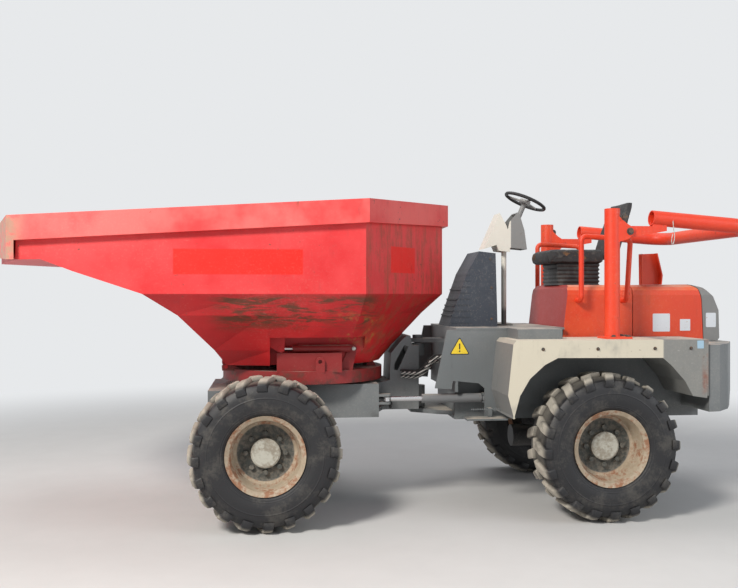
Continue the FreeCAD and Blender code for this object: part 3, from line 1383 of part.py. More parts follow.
grille_solid = shouldered("grille_solid", side_view("grille"), 0)
slots = []
for alias, size in (("louvre_pitch", 50), ("louvre_height", 24), ("louvre_count", 6),
                    ("louvre_depth", 50), ("louvre_edge", 60)):
    put(alias, size)
doc.recompute()
for i in range(int(numbers["louvre_count"])):
    slots.append(box("louvre_" + str(i), at("grille_rear_low_x") - 60,
                     at("grille_rear_low_x") + q("louvre_depth"),
                     -q("hood_half") + q("louvre_edge"), q("hood_half") - q("louvre_edge"),
                     q("grille_rear_low_z") + 25 + q("louvre_pitch") * i,
                     q("grille_rear_low_z") + 25 + q("louvre_pitch") * i
                     + q("louvre_height")))
grille_eyes = []
for tag, hand in (("left", 1), ("right", -1)):
    eye_y = q("hinge_y") * hand
    grille_eyes.append(pin_across("hinge_eye_" + tag, q("hinge_eye_radius"),
                                  q("hinge_eye_width"), at("hinge_x"), eye_y, q("hinge_z")))
    grille_eyes.append(box("hinge_neck_" + tag, at("hinge_x"), at("grille_rear_low_x") + 8,
                           eye_y - q("hinge_eye_width") / 2, eye_y + q("hinge_eye_width") / 2,
                           q("hinge_z") + 1, q("hinge_z") + 12))
eye_bore = pin_across("hinge_eye_bore", q("hinge_pin_radius") + 0.3, 900, at("hinge_x"), 0,
                      q("hinge_z"))
rear_grille = cut("rear_grille", fuse("grille_whole",
                                      [cut("grille_slotted", grille_solid, fuse("louvres", slots))]
                                      + grille_eyes), eye_bore)
nodes.append(("rear_grille", rear_grille))

bracket_plate = across("bracket_plate", side_view("bracket"), 8, 356)
bracket_lips = [across("bracket_lip_front",
                       [(at("bracket_front_low_x"), q("bracket_front_low_z")),
                        (at("bracket_front_top_x"), q("bracket_front_top_z")),
                        (at("bracket_front_top_x") - 8, q("bracket_front_top_z")),
                        (at("bracket_front_low_x") - 8, q("bracket_front_low_z"))], 60, 382),
                across("bracket_lip_rear",
                       [(at("bracket_rear_top_x"), q("bracket_rear_top_z")),
                        (at("bracket_rear_knee_x"), q("bracket_rear_knee_z")),
                        (at("bracket_rear_low_x"), q("bracket_rear_low_z")),
                        (at("bracket_rear_low_x") + 9, q("bracket_rear_low_z")),
                        (at("bracket_rear_knee_x") + 9, q("bracket_rear_knee_z")),
                        (at("bracket_rear_top_x") + 9, q("bracket_rear_top_z"))], 60, 382)]
hood_bracket = fuse("hood_bracket", [bracket_plate] + bracket_lips)
nodes.append(("hood_bracket", hood_bracket))

engine = box("engine_block", at("hood_front_low_x") - 420, at("hood_front_low_x") + 360,
             -q("beam_y") + 30, q("beam_y") - 30, q("belly_z") + GAP, 1600)
nodes.append(("engine_block", engine))


# Roll-over frame: posts with ears, and the hoop folded back on its hinge

def post(tag, hand):
    column = rod("post_tube_" + tag, q("post_radius"), q("post_top") - q("guard_top") - GAP,
                 at("post_x"), q("post_y") * hand, q("guard_top") + GAP)
    hollow = rod("post_hollow_" + tag, q("post_radius") - q("hoop_wall"), 120, at("post_x"),
                 q("post_y") * hand, q("post_top") - 100)
    flange = box("post_flange_" + tag, at("post_x") - q("post_flange_half"),
                 at("post_x") + q("post_flange_half") - 40,
                 q("post_y") * hand - 90, q("post_y") * hand + 90,
                 q("guard_top") + GAP, q("guard_top") + q("post_flange_thick"))
    ears = []
    for i, side in enumerate((1, -1)):
        mid = q("post_y") * hand + q("ear_y") * side
        ears.append(across("post_ear_" + tag + str(i),
                           [(at("post_x"), q("post_top") - 260),
                            (at("post_x"), q("post_top") - 30),
                            (at("hoop_pivot_x") + 30, q("hoop_pivot_z") + 62),
                            (at("hoop_pivot_x") - 32, q("hoop_pivot_z") + 24),
                            (at("hoop_pivot_x") - 32, q("hoop_pivot_z") - 24),
                            (at("hoop_pivot_x") + 20, q("hoop_pivot_z") - 60)],
                           q("ear_thick"), mid))
    pivot_hole = pin_across("post_bore_" + tag, 14.3, 300, at("hoop_pivot_x"),
                            q("post_y") * hand, q("hoop_pivot_z"))
    return cut("post_" + tag, cut("post_open_" + tag,
                                  fuse("post_body_" + tag, [column, flange] + ears), hollow),
               pivot_hole)


rops_posts = group("rops_posts", [post("left", 1), post("right", -1)])
nodes.append(("rops_posts", rops_posts))

hoop_end_z = q("hoop_start_z") - q("hoop_drop")
hoop_tube = bent_tube("hoop_tube",
                      [(at("hoop_start_x"), q("post_y"), q("hoop_start_z")),
                       (at("hoop_end_x"), q("post_y"), hoop_end_z),
                       (at("hoop_end_x"), -q("post_y"), hoop_end_z),
                       (at("hoop_start_x"), -q("post_y"), q("hoop_start_z"))],
                      q("post_radius"), q("hoop_bend"), q("hoop_wall"))
hoop_parts = [hoop_tube]
for tag, hand in (("left", 1), ("right", -1)):
    for i, side in enumerate((1, -1)):
        mid = q("post_y") * hand + (q("ear_y") - q("ear_thick") - 6) * side
        hoop_parts.append(across("hoop_ear_" + tag + str(i),
                                 [(at("hoop_pivot_x") + 30, q("hoop_pivot_z") + 18),
                                  (at("hoop_pivot_x") + 30, q("hoop_pivot_z") - 18),
                                  (at("hoop_pivot_x") - 40, q("hoop_pivot_z") - 40),
                                  (at("hoop_start_x") - 110, q("hoop_start_z") - 100),
                                  (at("hoop_start_x") - 110, q("hoop_start_z") - 26),
                                  (at("hoop_start_x") - 8, q("hoop_start_z") - 26),
                                  (at("hoop_start_x") + 2, q("hoop_pivot_z") + 42),
                                  (at("hoop_pivot_x") - 20, q("hoop_pivot_z") + 42)],
                                 q("ear_thick"), mid))
    hoop_parts.append(pin_across("hoop_pin_" + tag, 14, 120, at("hoop_pivot_x"),
                                 q("post_y") * hand, q("hoop_pivot_z")))
rops_hoop = fuse("rops_hoop", hoop_parts)
nodes.append(("rops_hoop", rops_hoop))

# Guard rails beside the seat: one bent tube each, from the cover's side up and back down
for alias, size in (("rail_y", 540), ("rail_foot_y", 472), ("rail_front_x", -2424),
                    ("rail_rear_x", -2790), ("rail_foot_z", 1600), ("rail_top", 2098),
                    ("rail_bend", 60)):
    put(alias, size)
doc.recompute()
rails = []
for tag, hand in (("left", 1), ("right", -1)):
    rail_y = q("rail_y") * hand
    foot_y = (q("hood_half") + GAP) * hand
    rails.append(bent_tube("rail_" + tag,
                           [(at("rail_front_x"), foot_y, q("rail_foot_z")),
                            (at("rail_front_x"), rail_y, q("rail_foot_z")),
                            (at("rail_front_x"), rail_y, q("rail_top")),
                            (at("rail_rear_x") - 30, rail_y, q("rail_top") - 20),
                            (at("rail_rear_x"), rail_y, q("rail_foot_z")),
                            (at("rail_rear_x"), foot_y, q("rail_foot_z"))],
                           q("rail_radius"), 40))
guard_rails = group("guard_rails", rails)
nodes.append(("guard_rails", guard_rails))

# Steps on both sides
put("step_front_x", -1500)
put("step_rear_x", -1812)
put("step_z", 698)
put("step_outer", 640)
doc.recompute()
step_tread = box("step_tread", at("step_rear_x"), at("step_front_x"),
                 q("rear_side_half") + GAP, q("step_outer"), q("step_z"), q("step_z") + 14)
step_web = box("step_web", at("step_rear_x") + 100, at("step_rear_x") + 130,
               q("rear_side_half") + GAP, q("rear_side_half") + 60, q("step_z"), 780)
step_left = fuse("step_left", [step_tread, step_web])
steps = group("steps", [step_left, mirrored("step_right", step_left)])
nodes.append(("steps", steps))

doc.recompute()

# Every object is checked, then each piece is written to its own file
for obj in doc.Objects:
    if "Invalid" in obj.State or "Error" in obj.State:
        raise RuntimeError("not computed: " + obj.Name + " " + str(obj.State))
os.makedirs("parts", exist_ok=True)
for node, obj in nodes:
    if obj.Label != node:
        obj.Label = node
    if obj.Shape.isNull() or not obj.Shape.isValid():
        raise RuntimeError("bad shape: " + node)
    obj.Shape.exportStep("parts/" + node + ".step")
    bounds = obj.Shape.BoundBox
    print(node, len(obj.Shape.Solids), round(obj.Shape.Volume / 1e6, 2), "dm3",
          [round(v) for v in (bounds.XMin, bounds.XMax, bounds.YMin, bounds.YMax,
                              bounds.ZMin, bounds.ZMax)])
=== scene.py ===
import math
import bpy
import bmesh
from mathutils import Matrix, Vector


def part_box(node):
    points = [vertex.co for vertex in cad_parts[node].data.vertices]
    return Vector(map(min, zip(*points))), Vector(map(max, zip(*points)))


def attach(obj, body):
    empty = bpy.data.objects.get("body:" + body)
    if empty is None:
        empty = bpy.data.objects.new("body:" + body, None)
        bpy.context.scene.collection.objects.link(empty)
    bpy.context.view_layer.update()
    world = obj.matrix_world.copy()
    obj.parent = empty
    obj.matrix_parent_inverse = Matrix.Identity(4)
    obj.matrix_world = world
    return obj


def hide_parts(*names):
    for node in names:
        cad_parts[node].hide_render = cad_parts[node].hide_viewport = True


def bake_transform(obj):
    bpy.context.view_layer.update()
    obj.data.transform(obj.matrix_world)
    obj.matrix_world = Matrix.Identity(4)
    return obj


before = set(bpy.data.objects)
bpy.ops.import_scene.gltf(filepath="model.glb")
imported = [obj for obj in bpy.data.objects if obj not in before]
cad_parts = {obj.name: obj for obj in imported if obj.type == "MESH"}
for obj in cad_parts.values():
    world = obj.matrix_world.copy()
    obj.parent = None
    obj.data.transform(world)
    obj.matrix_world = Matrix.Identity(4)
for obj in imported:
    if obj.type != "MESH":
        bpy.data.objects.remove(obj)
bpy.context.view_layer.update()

# %% [markdown]
# # A site dumper, dressed for its picture
# The machine comes in as packed CAD: every solid already has its true size and place.
# This lesson gives each of them a finish, adds the round tyres, soft seat, bolts, hoses and
# signs that solids don't show, and sets up the camera that the photograph was taken with.
# The axles are measured first, because most places below are given from the front axle.


def corners(node):
    """The lowest and the highest corner of a CAD node's box."""
    return [Vector(corner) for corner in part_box(node)]


def middle(node):
    low, high = corners(node)
    return (low + high) / 2


front_x, wheel_y, wheel_z = middle("tyre_front_left")
rear_x = middle("tyre_rear_left").x
for thing in bpy.context.selected_objects:
    thing.select_set(False)
print("front axle at", round(front_x, 3), "rear axle at", round(rear_x, 3))

# %% [markdown]
# ## The camera
# The photograph was taken at standing eye height, level, from beside the front axle, with the
# machine turned a few degrees away. The camera could be moved until the two pictures look
# alike, but its place, angle and lens follow from the wheels' ellipses and the vanishing
# lines, so they are worked out. The focal length is known in pixels of the picture's width,
# and turns into millimetres of a 36 mm sensor.

# %% Camera
PHOTO_WIDTH = 738.0
FOCAL_PIXELS = 845.0
SENSOR_WIDTH = 36.0
EYE = (-0.0283, 6.8429, 1.65)
VIEW = (-0.1167, -0.993, 0.0)


def aim(thing, direction):
    thing.rotation_mode = "QUATERNION"
    thing.rotation_quaternion = Vector(direction).normalized().to_track_quat("-Z", "Y")


camera_data = bpy.data.cameras.new("photo_camera")
camera_data.sensor_fit = "HORIZONTAL"
camera_data.sensor_width = SENSOR_WIDTH
camera_data.lens = SENSOR_WIDTH * FOCAL_PIXELS / PHOTO_WIDTH
camera = bpy.data.objects.new("photo_camera", camera_data)
bpy.context.scene.collection.objects.link(camera)
camera.location = (front_x + EYE[0], EYE[1], EYE[2])
aim(camera, VIEW)
bpy.context.scene.camera = camera
bpy.context.scene.view_settings.view_transform = "Standard"
print("lens", round(camera_data.lens, 2), "mm")

# %% [markdown]
# ## Shader maths that reads as maths
# A material's pattern is arithmetic on numbers that change over the surface. It could be
# drawn as a net of nodes by hand, but the net hides the formula. `Amount` wraps one output
# and adds a Math node for each operator, so the formulas below read as formulas.

# %% Amounts


class Amount:
    """A number that changes over the surface; each operator adds a Math node."""

    def __init__(self, tree, socket):
        self.tree = tree
        self.socket = socket

    def maths(self, operation, *values):
        node = self.tree.nodes.new("ShaderNodeMath")
        node.operation = operation
        for slot, value in zip(node.inputs, values):
            plug(self.tree, slot, value)
        return Amount(self.tree, node.outputs[0])

    def __add__(self, other):
        return self.maths("ADD", self, other)

    def __sub__(self, other):
        return self.maths("SUBTRACT", self, other)

    def __rsub__(self, other):
        return self.maths("SUBTRACT", other, self)

    def __mul__(self, other):
        return self.maths("MULTIPLY", self, other)

    def __pow__(self, power):
        return self.maths("POWER", self, power)

    __radd__ = __add__
    __rmul__ = __mul__

    def most(self, other):
        return self.maths("MAXIMUM", self, other)

    def least(self, other):
        return self.maths("MINIMUM", self, other)

    def root(self):
        return self.maths("SQRT", self)

    def size(self):
        return self.maths("ABSOLUTE", self)

    def wave(self):
        return self.maths("SINE", self)


print("amounts take", [name for name in vars(Amount) if name[:2] != "__"])

# %% [markdown]
# ## One way to add any other node
# A node needs its kind, then its settings, which can change its sockets, and then the values
# or links of those sockets. One function does the three in that order for every node here. A
# socket is found by its name, or by its identifier where a node has two of the same name.

# %% Nodes


def plug(tree, slot, value):
    """Put a number, a colour or another node's output into a socket."""
    if isinstance(value, Amount):
        tree.links.new(value.socket, slot)
    elif hasattr(value, "is_output"):
        tree.links.new(value, slot)
    elif isinstance(value, (tuple, list)) and len(value) == 3 and slot.type == "RGBA":
        slot.default_value = (*value, 1.0)
    else:
        slot.default_value = value


def new_node(tree, kind, settings=None, output=0, **values):
    """Add a node and give back one of its outputs, or all of them where output is None."""
    node = tree.nodes.new(kind)
    for key, value in (settings or {}).items():
        setattr(node, key, value)
    for key, value in values.items():
        slot = next(s for s in node.inputs if key in (s.name.replace(" ", "_"), s.identifier))
        plug(tree, slot, value)
    return node.outputs if output is None else node.outputs[output]


def seen_directly(tree):
    """1 where the camera, or a bright or clear surface, looks at what is behind."""
    rays = new_node(tree, "ShaderNodeLightPath", output=None)
    seen, bright, clear = [Amount(tree, rays["Is " + kind + " Ray"])
                           for kind in ("Camera", "Glossy", "Transmission")]
    return seen.most(bright).most(clear)


def show_mixed(tree, first, second, share, end):
    """Send a mix of two shaders to the end node of a tree."""
    mixed = new_node(tree, "ShaderNodeMixShader", Fac=share, Shader=first, Shader_001=second)
    plug(tree, tree.nodes[end].inputs["Surface"], mixed)


print("node helpers ready")

# %% [markdown]
# ## Floor, backdrop and light
# A pale floor takes the machine's soft shadow, and melts into a backdrop of the same pale
# tone. The backdrop could light the scene too, but it would wash out the shadows, so lamps
# and a dimmer sky do that: rays that look straight at the world see the pale tone instead.
# The sun in the picture stands high behind the photographer's left shoulder, so the key lamp
# is large and high on that side, and two weaker ones open the shadows.

# %% Floor and lights
PALE = (0.80, 0.815, 0.83)
SKY = (0.84, 0.89, 0.97)

bpy.ops.mesh.primitive_plane_add(size=60, location=(0, 0, 0))
floor = bpy.context.object
floor.name = "studio_floor"

world = bpy.data.worlds.new("studio_world")
bpy.context.scene.world = world
world.use_nodes = True
air = world.node_tree
sky = air.nodes["Background"]
plug(air, sky.inputs["Color"], SKY)
plug(air, sky.inputs["Strength"], 0.30)
pale = new_node(air, "ShaderNodeBackground", Color=PALE, Strength=1.0)
show_mixed(air, sky.outputs[0], pale, seen_directly(air), "World Output")

LAMPS = (
    # name, place, width and height, power, tint
    ("key_lamp", (5.5, 7.0, 7.5), (2.2, 2.2), 1180, (1.0, 0.965, 0.91)),
    ("fill_lamp", (-7.0, 5.0, 4.0), (5.0, 4.0), 190, (0.93, 0.96, 1.0)),
    ("top_lamp", (0.0, -2.0, 8.0), (6.0, 4.0), 210, (1.0, 1.0, 1.0)),
)
LIT_POINT = Vector((0, 0, 1))
for name, place, size, power, tint in LAMPS:
    lamp_data = bpy.data.lights.new(name, "AREA")
    lamp_data.shape = "RECTANGLE"
    lamp_data.size, lamp_data.size_y = size
    lamp_data.energy = power
    lamp_data.color = tint
    lamp = bpy.data.objects.new(name, lamp_data)
    bpy.context.scene.collection.objects.link(lamp)
    lamp.location = place
    aim(lamp, LIT_POINT - Vector(place))
print("lamps", len(LAMPS))

# %% [markdown]
# ## What every finish here is made of
# Real surfaces vary at three sizes: wide fading, fine mottling and grain. All of it could be
# painted as pictures, but noise on the part's own coordinates has no seams and needs no
# unwrapping. `Finish` holds one material and the few patterns that the finishes below share.
# Places are measured from the front axle, and the way a surface faces turns with its piece,
# so that dust stays where it fell when the skip is tipped.

# %% A finish
AHEAD, OUT, UP = 0, 1, 2


class Finish:
    """One material, with the nodes that every finish here needs."""

    def __init__(self, name):
        self.material = bpy.data.materials.new(name)
        self.material.use_nodes = True
        self.tree = self.material.node_tree
        self.shader = self.tree.nodes["Principled BSDF"]
        self.place = self.node("ShaderNodeTexCoord", output="Object")
        along, self.y, self.z = self.parts(self.place)
        self.x = along - front_x

    def node(self, kind, settings=None, output=0, **values):
        return new_node(self.tree, kind, settings, output, **values)

    def parts(self, vector):
        """The three amounts in a vector."""
        split = self.node("ShaderNodeSeparateXYZ", output=None, Vector=vector)
        return [Amount(self.tree, socket) for socket in split]

    def facing(self):
        """How far the surface faces ahead, out and up, in amounts that turn with the piece."""
        seen = self.node("ShaderNodeNewGeometry", output="Normal")
        kinds = {"vector_type": "NORMAL", "convert_from": "WORLD", "convert_to": "OBJECT"}
        return self.parts(self.node("ShaderNodeVectorTransform", kinds, Vector=seen))

    def moved(self, scale=(1, 1, 1), turn=(0, 0, 0)):
        """The part's own coordinates, stretched or turned for a pattern."""
        return self.node("ShaderNodeMapping", Vector=self.place, Scale=scale, Rotation=turn)

    def noise(self, scale, detail=4.0, rough=0.55, where=None, twist=0.0):
        return Amount(self.tree, self.node("ShaderNodeTexNoise", Scale=scale, Detail=detail,
                                           Roughness=rough, Distortion=twist,
                                           Vector=where or self.place))

    def step(self, value, low, high):
        """0 below low, 1 above high, and a smooth ramp between."""
        ramp = self.node("ShaderNodeMapRange", {"interpolation_type": "SMOOTHSTEP"},
                         Value=value, From_Min=low, From_Max=high)
        return Amount(self.tree, ramp)

    def band(self, value, low, high, soft):
        """1 between two limits, 0 outside, with soft edges."""
        rise = self.step(value, low - soft, low + soft)
        return rise * (1.0 - self.step(value, high - soft, high + soft))

    def reach(self, first, second):
        """The distance from a line, out of the two amounts measured across it."""
        return (first ** 2.0 + second ** 2.0).root()

    def mix(self, first, second, factor):
        """A colour between two, by a number or an amount."""
        return self.node("ShaderNodeMix", {"data_type": "RGBA"}, output=2,
                         Factor_Float=factor, A_Color=first, B_Color=second)

    def bump(self, height, depth, strength=0.5):
        relief = self.node("ShaderNodeBump", Strength=strength, Distance=depth, Height=height)
        plug(self.tree, self.shader.inputs["Normal"], relief)

    def set(self, **values):
        """Fill the shader's sockets and give back the material."""
        for key, value in values.items():
            plug(self.tree, self.shader.inputs[key.replace("_", " ")], value)
        return self.material


print("finish ready")

# %% [markdown]
# ## Worn paint
# Site paint fades in large soft areas, carries fine mottling, collects pale dust on what
# faces up, and is scuffed through in small spots. Each paint could have its own net, but one
# class makes them all, so that they age alike. Each part's own marks are laid on the base
# first, and `age` then puts the years over them.

# %% Paint
RUST = (0.16, 0.055, 0.02)
GOLD_RUST = (0.42, 0.20, 0.045)


class Paint(Finish):
    """Faded, dusty and chipped site paint that takes extra marks before it is set."""

    def __init__(self, name, colour, faded):
        super().__init__(name)
        self.colour = colour
        self.wide = self.noise(1.1, 3.0, 0.5)
        self.fine = self.noise(14.0, 6.0, 0.65)
        self.grain = self.noise(70.0, 4.0, 0.6)
        bleached = self.step(self.wide + self.fine * 0.35, 0.5, 0.95) * 0.85
        self.base = self.mix(colour, faded, bleached)

    def lay(self, colour, amount):
        """Mix a colour over what is there."""
        self.base = self.mix(self.base, colour, amount)

    def age(self, dust=(0.55, 0.50, 0.42), dust_amount=0.55, chips=0.5, grime=0.35,
            shine=0.42):
        """Dust on what faces up, dirt that ran down, chips, and a little relief."""
        lying = (self.step(self.facing()[UP], 0.55, 0.98)
                 * self.step(self.noise(5.0, 6.0, 0.6), 0.35, 0.62))
        self.lay(dust, lying * dust_amount)
        runs = self.noise(6.0, 5.0, 0.6, self.moved((3.0, 3.0, 0.35)))
        dirt = self.step(runs, 0.50, 0.78) * self.step(self.fine, 0.38, 0.7)
        self.lay(tuple(c * 0.25 + 0.02 for c in self.colour), dirt * grime)
        spots = (self.step(self.noise(38.0, 3.0, 0.5), 0.68, 0.74)
                 * self.step(self.noise(3.0, 2.0), 0.5, 0.62))
        self.lay((0.11, 0.05, 0.03), spots * chips)
        self.lay(dust, self.step(self.grain + self.wide * 0.4, 0.72, 0.95) * 0.10)
        self.bump(self.fine + self.grain * 0.3, 0.002, 0.25)
        return self.set(Base_Color=self.base,
                        Roughness=shine + self.fine * 0.22 + lying * 0.25)


print("paint ready, rust", RUST)

# %% [markdown]
# ## Frame grey and the guards, with dust and painted sunlight
# Frames and counterweight are one grey, darker towards the ground with oil and painted shade.
# The guards have the same grey, but ahead of the tail's crease they are cream: dried cement
# dust and painted sunlight. That cream could be a part of its own, but it is only a layer, so
# it is laid where the guard faces outwards or up. Boots and buckets leave long scratches, and
# the tail has a rusty strip.

# %% Grey paints
GUARD_CREASE = -2.895
TAIL_STRIP = (-3.235, -3.19)


def frame_grey():
    f = Paint("frame_grey", (0.140, 0.153, 0.158), (0.21, 0.216, 0.214))
    # darker towards the ground: oily dirt, and painted shade under the skip and frames
    oil_and_shade = f.step(0.95 - f.z, 0.0, 0.4) * f.step(f.noise(4.0, 5.0, 0.6), 0.45, 0.7)
    f.lay((0.035, 0.033, 0.030), oil_and_shade * 0.75)
    return f.age(dust_amount=0.8)


def guard_grey():
    f = Paint("guard_grey", (0.185, 0.190, 0.186), (0.25, 0.245, 0.225))
    way = f.facing()
    # painted sunlight with dried dust: cream on faces that look out or up, ahead of the crease
    cream = (f.step(f.x, GUARD_CREASE, GUARD_CREASE + 0.015)
             * f.step(f.noise(2.2, 4.0, 0.6), 0.20, 0.50)
             * f.step(way[OUT].size().most(way[UP]), 0.5, 0.8))
    f.lay((0.68, 0.62, 0.49), cream * 0.88)
    tail = f.step(f.noise(9.0, 5.0, 0.6), 0.35, 0.7) * f.band(f.x, *TAIL_STRIP, 0.012)
    f.lay((0.24, 0.085, 0.05), tail * 0.85)
    scratch = f.noise(9.0, 5.0, 0.7, f.moved((1.0, 1.0, 9.0), (0.0, 0.12, 0.0)))
    f.lay((0.62, 0.61, 0.57), f.step(scratch, 0.66, 0.72) * 0.6)
    return f.age(dust_amount=0.85)


grey, guard = frame_grey(), guard_grey()
print("greys", grey.name, guard.name)

# %% [markdown]
# ## The cowl, the column's shroud and the oily iron
# The cowl is dark blue plastic with shallow ribs on its sloping front. The ribs could be cut
# into it, but they are shallower than a coin, so their shade is painted as a dark wave in the
# colour, given in radians for each metre of height. The shroud that holds the dash is cream in
# front and grey behind, on a tube that darkens towards its foot: shroud and tube are one solid,
# so place tells their colours apart. Axles and engine are black with oil, and the steering
# barrel is a lighter grey.

# %% Cowl, shroud and iron
RIB_WAVES = 130.0
SHROUD_SPLIT = 1.992
SHROUD_FOOT = 1.50


def cowl_blue():
    f = Paint("cowl_blue", (0.027, 0.035, 0.050), (0.058, 0.067, 0.082))
    # painted shade: dark stripes where the ribs' grooves fall in shade
    painted_rib_shade = (f.z * RIB_WAVES).wave() * f.step(f.x, -1.66, -1.60)
    f.lay((0.13, 0.14, 0.155), f.step(f.noise(8.0, 6.0, 0.7), 0.56, 0.78) * 0.4)
    f.lay((0.014, 0.018, 0.025), f.step(painted_rib_shade, 0.2, 0.9) * 0.5)
    return f.age(dust_amount=0.4, chips=0.25, shine=0.5)


def column_cream():
    f = Paint("column_cream", (0.66, 0.64, 0.57), (0.74, 0.72, 0.66))
    grey_side = f.step(-1.0 * f.x, SHROUD_SPLIT, SHROUD_SPLIT + 0.006) * f.step(f.z, 1.99, 2.02)
    f.lay((0.16, 0.165, 0.17), grey_side * 0.9)
    f.lay((0.05, 0.05, 0.05), (1.0 - f.step(f.z, SHROUD_FOOT, SHROUD_FOOT + 0.06)) * 0.85)
    return f.age(dust_amount=0.3, grime=0.6)


cowl, cream = cowl_blue(), column_cream()
iron = Paint("oily_iron", (0.030, 0.030, 0.032), (0.07, 0.065, 0.06)).age(dust_amount=0.3)
barrel_grey = Paint("ram_grey", (0.16, 0.165, 0.17), (0.28, 0.28, 0.27)).age(dust_amount=0.3)
print("finishes so far", len(bpy.data.materials))

# %% [markdown]
# ## Orange-red sheet and tube
# The hood, its bracket, the rails and the roll-over tube share a red that the sun has turned
# towards orange. On the top faces of the hood's sheet it is lighter still, bleached and with a
# painted highlight, and the engine cover's forward-facing front carries a painted shade of dark
# red. One colour for all would look like a toy, so sheet and tube get their own base, and the
# tube rusts in small rubbed spots. The grille housing is a dusty grey.

# %% Orange-red
COVER_FRONT = (-2.5, -2.4)


def hood_orange():
    f = Paint("hood_orange", (0.62, 0.048, 0.013), (0.72, 0.12, 0.035))
    way = f.facing()
    # bleaching and a painted highlight: lighter orange on faces that look up
    bleach_and_highlight = f.step(way[UP], 0.3, 0.95) * f.step(f.noise(3.0, 4.0, 0.6), 0.3, 0.6)
    f.lay((0.85, 0.30, 0.13), bleach_and_highlight * 0.55)
    low_dirt = f.step(1.42 - f.z, 0.0, 0.14) * f.step(f.noise(5.0, 4.0, 0.6), 0.4, 0.7)
    f.lay((0.33, 0.030, 0.015), low_dirt * 0.6)
    # painted shade: dark red on the engine cover's forward-facing front
    painted_front_shade = f.step(way[AHEAD], 0.5, 0.8) * f.step(f.x, *COVER_FRONT)
    f.lay((0.26, 0.008, 0.012), painted_front_shade * 0.85)
    return f.age(dust_amount=0.35, chips=0.7, shine=0.36)


def tube_orange():
    f = Paint("tube_orange", (0.74, 0.042, 0.012), (0.82, 0.085, 0.025))
    f.lay(RUST, f.step(f.noise(16.0, 5.0, 0.65), 0.62, 0.72) * 0.45)
    return f.age(dust_amount=0.12, chips=0.9, shine=0.38)


def grille_pale():
    f = Paint("grille_pale", (0.19, 0.192, 0.188), (0.30, 0.295, 0.285))
    f.lay((0.05, 0.05, 0.05), f.step(f.noise(11.0, 5.0, 0.6), 0.6, 0.8) * 0.5)
    return f.age(dust_amount=0.5)


orange, tube, pale_grille = hood_orange(), tube_orange(), grille_pale()
print("oranges", orange.name, tube.name)

# %% [markdown]
# ## The skip's red
# The skip tells the machine's story: an upper band that is bleached and lighter with painted
# light, a painted shade on the wall below the crease, a long repainted strip on its left side
# and a square one on the corner behind it, brown streaks and drips below the crease, and
# scuffs. The repaint could be thin plates, but it is flush, so it is a layer, kept off the
# faces that look the other way. Heights follow the sheet's creases.

# %% Skip
CREASE_Z = 1.645
STRIP_X, STRIP_Z = (-0.258, 0.628), (1.785, 1.960)
SQUARE_X, SQUARE_Z = (-1.132, -0.912), (1.807, 2.0)
FRESH_RED = (0.86, 0.012, 0.004)


def skip_red():
    f = Paint("skip_red", (0.62, 0.008, 0.012), (0.72, 0.050, 0.050))
    way = f.facing()
    # above the crease: bleaching and painted light; below it: painted shade on the sloping wall
    upper = f.step(f.z, CREASE_Z, CREASE_Z + 0.010)
    f.lay((0.80, 0.078, 0.080), upper * f.step(f.noise(1.7, 4.0, 0.6), 0.25, 0.65) * 0.65)
    f.lay((0.40, 0.005, 0.008), (1.0 - upper) * f.step(f.noise(2.0, 3.0), 0.2, 0.6) * 0.75)
    strip = f.band(f.x, *STRIP_X, 0.006) * f.band(f.z, *STRIP_Z, 0.006)
    f.lay(FRESH_RED, strip * f.step(way[OUT], 0.3, 0.5) * 0.95)
    drip = f.noise(9.0, 6.0, 0.7, f.moved((1.6, 1.6, 0.22)))
    brown = f.step(-1.0 * f.x, 0.69, 0.72) * f.step(drip + f.fine * 0.3, 0.58, 0.80)
    f.lay((0.26, 0.070, 0.030), brown * 0.60)
    square = f.band(f.x, *SQUARE_X, 0.004) * f.band(f.z, *SQUARE_Z, 0.004)
    outside = f.step(way[OUT] - way[AHEAD], 0.1, 0.3) * f.step(f.y, 0.0, 0.1)
    f.lay(FRESH_RED, square * outside * 0.9)
    under = f.step(1.66 - f.z, 0.0, 0.05) * f.step(f.z, 1.36, 1.46)
    wash = f.noise(5.0, 6.0, 0.7, f.moved((0.7, 0.7, 4.0)), 0.6)
    f.lay((0.10, 0.035, 0.014), under * f.band(f.x, -0.80, 0.35, 0.10)
          * f.step(wash, 0.44, 0.58) * 0.92)
    gold = f.band(f.x, -0.86, -0.50, 0.08) * f.band(f.z, 1.28, 1.50, 0.05)
    f.lay(GOLD_RUST, gold * f.step(f.noise(12.0, 6.0, 0.7), 0.50, 0.66) * 0.75)
    scuff = f.noise(26.0, 5.0, 0.7, f.moved((0.35, 1.0, 3.0)))
    side = f.step(f.y.size(), 0.80, 0.90)
    f.lay((0.80, 0.26, 0.22), f.step(scuff, 0.66, 0.76) * side * 0.35)
    return f.age(dust=(0.50, 0.36, 0.29), dust_amount=0.6, chips=0.9, shine=0.36)


red = skip_red()
print("skip", red.name)

# %% [markdown]
# ## The skip's rim and its turntable
# The folded rim has faded most, and its faces towards the left side carry painted sunlight
# over the fading. Where the chute's lip scrapes the ground it is bare and brown, and loading
# shovels have nicked its upper edge. The turntable below is a darker red, partly because it
# never sees the sun and partly as painted shade from the skip above, with dirt caked on its
# foot and grease where it meets the ring. Both could share the skip's red, but each has met
# its own wear, so each has its own layers.

# %% Rim and turntable
LIP_X = (1.56, 1.70)


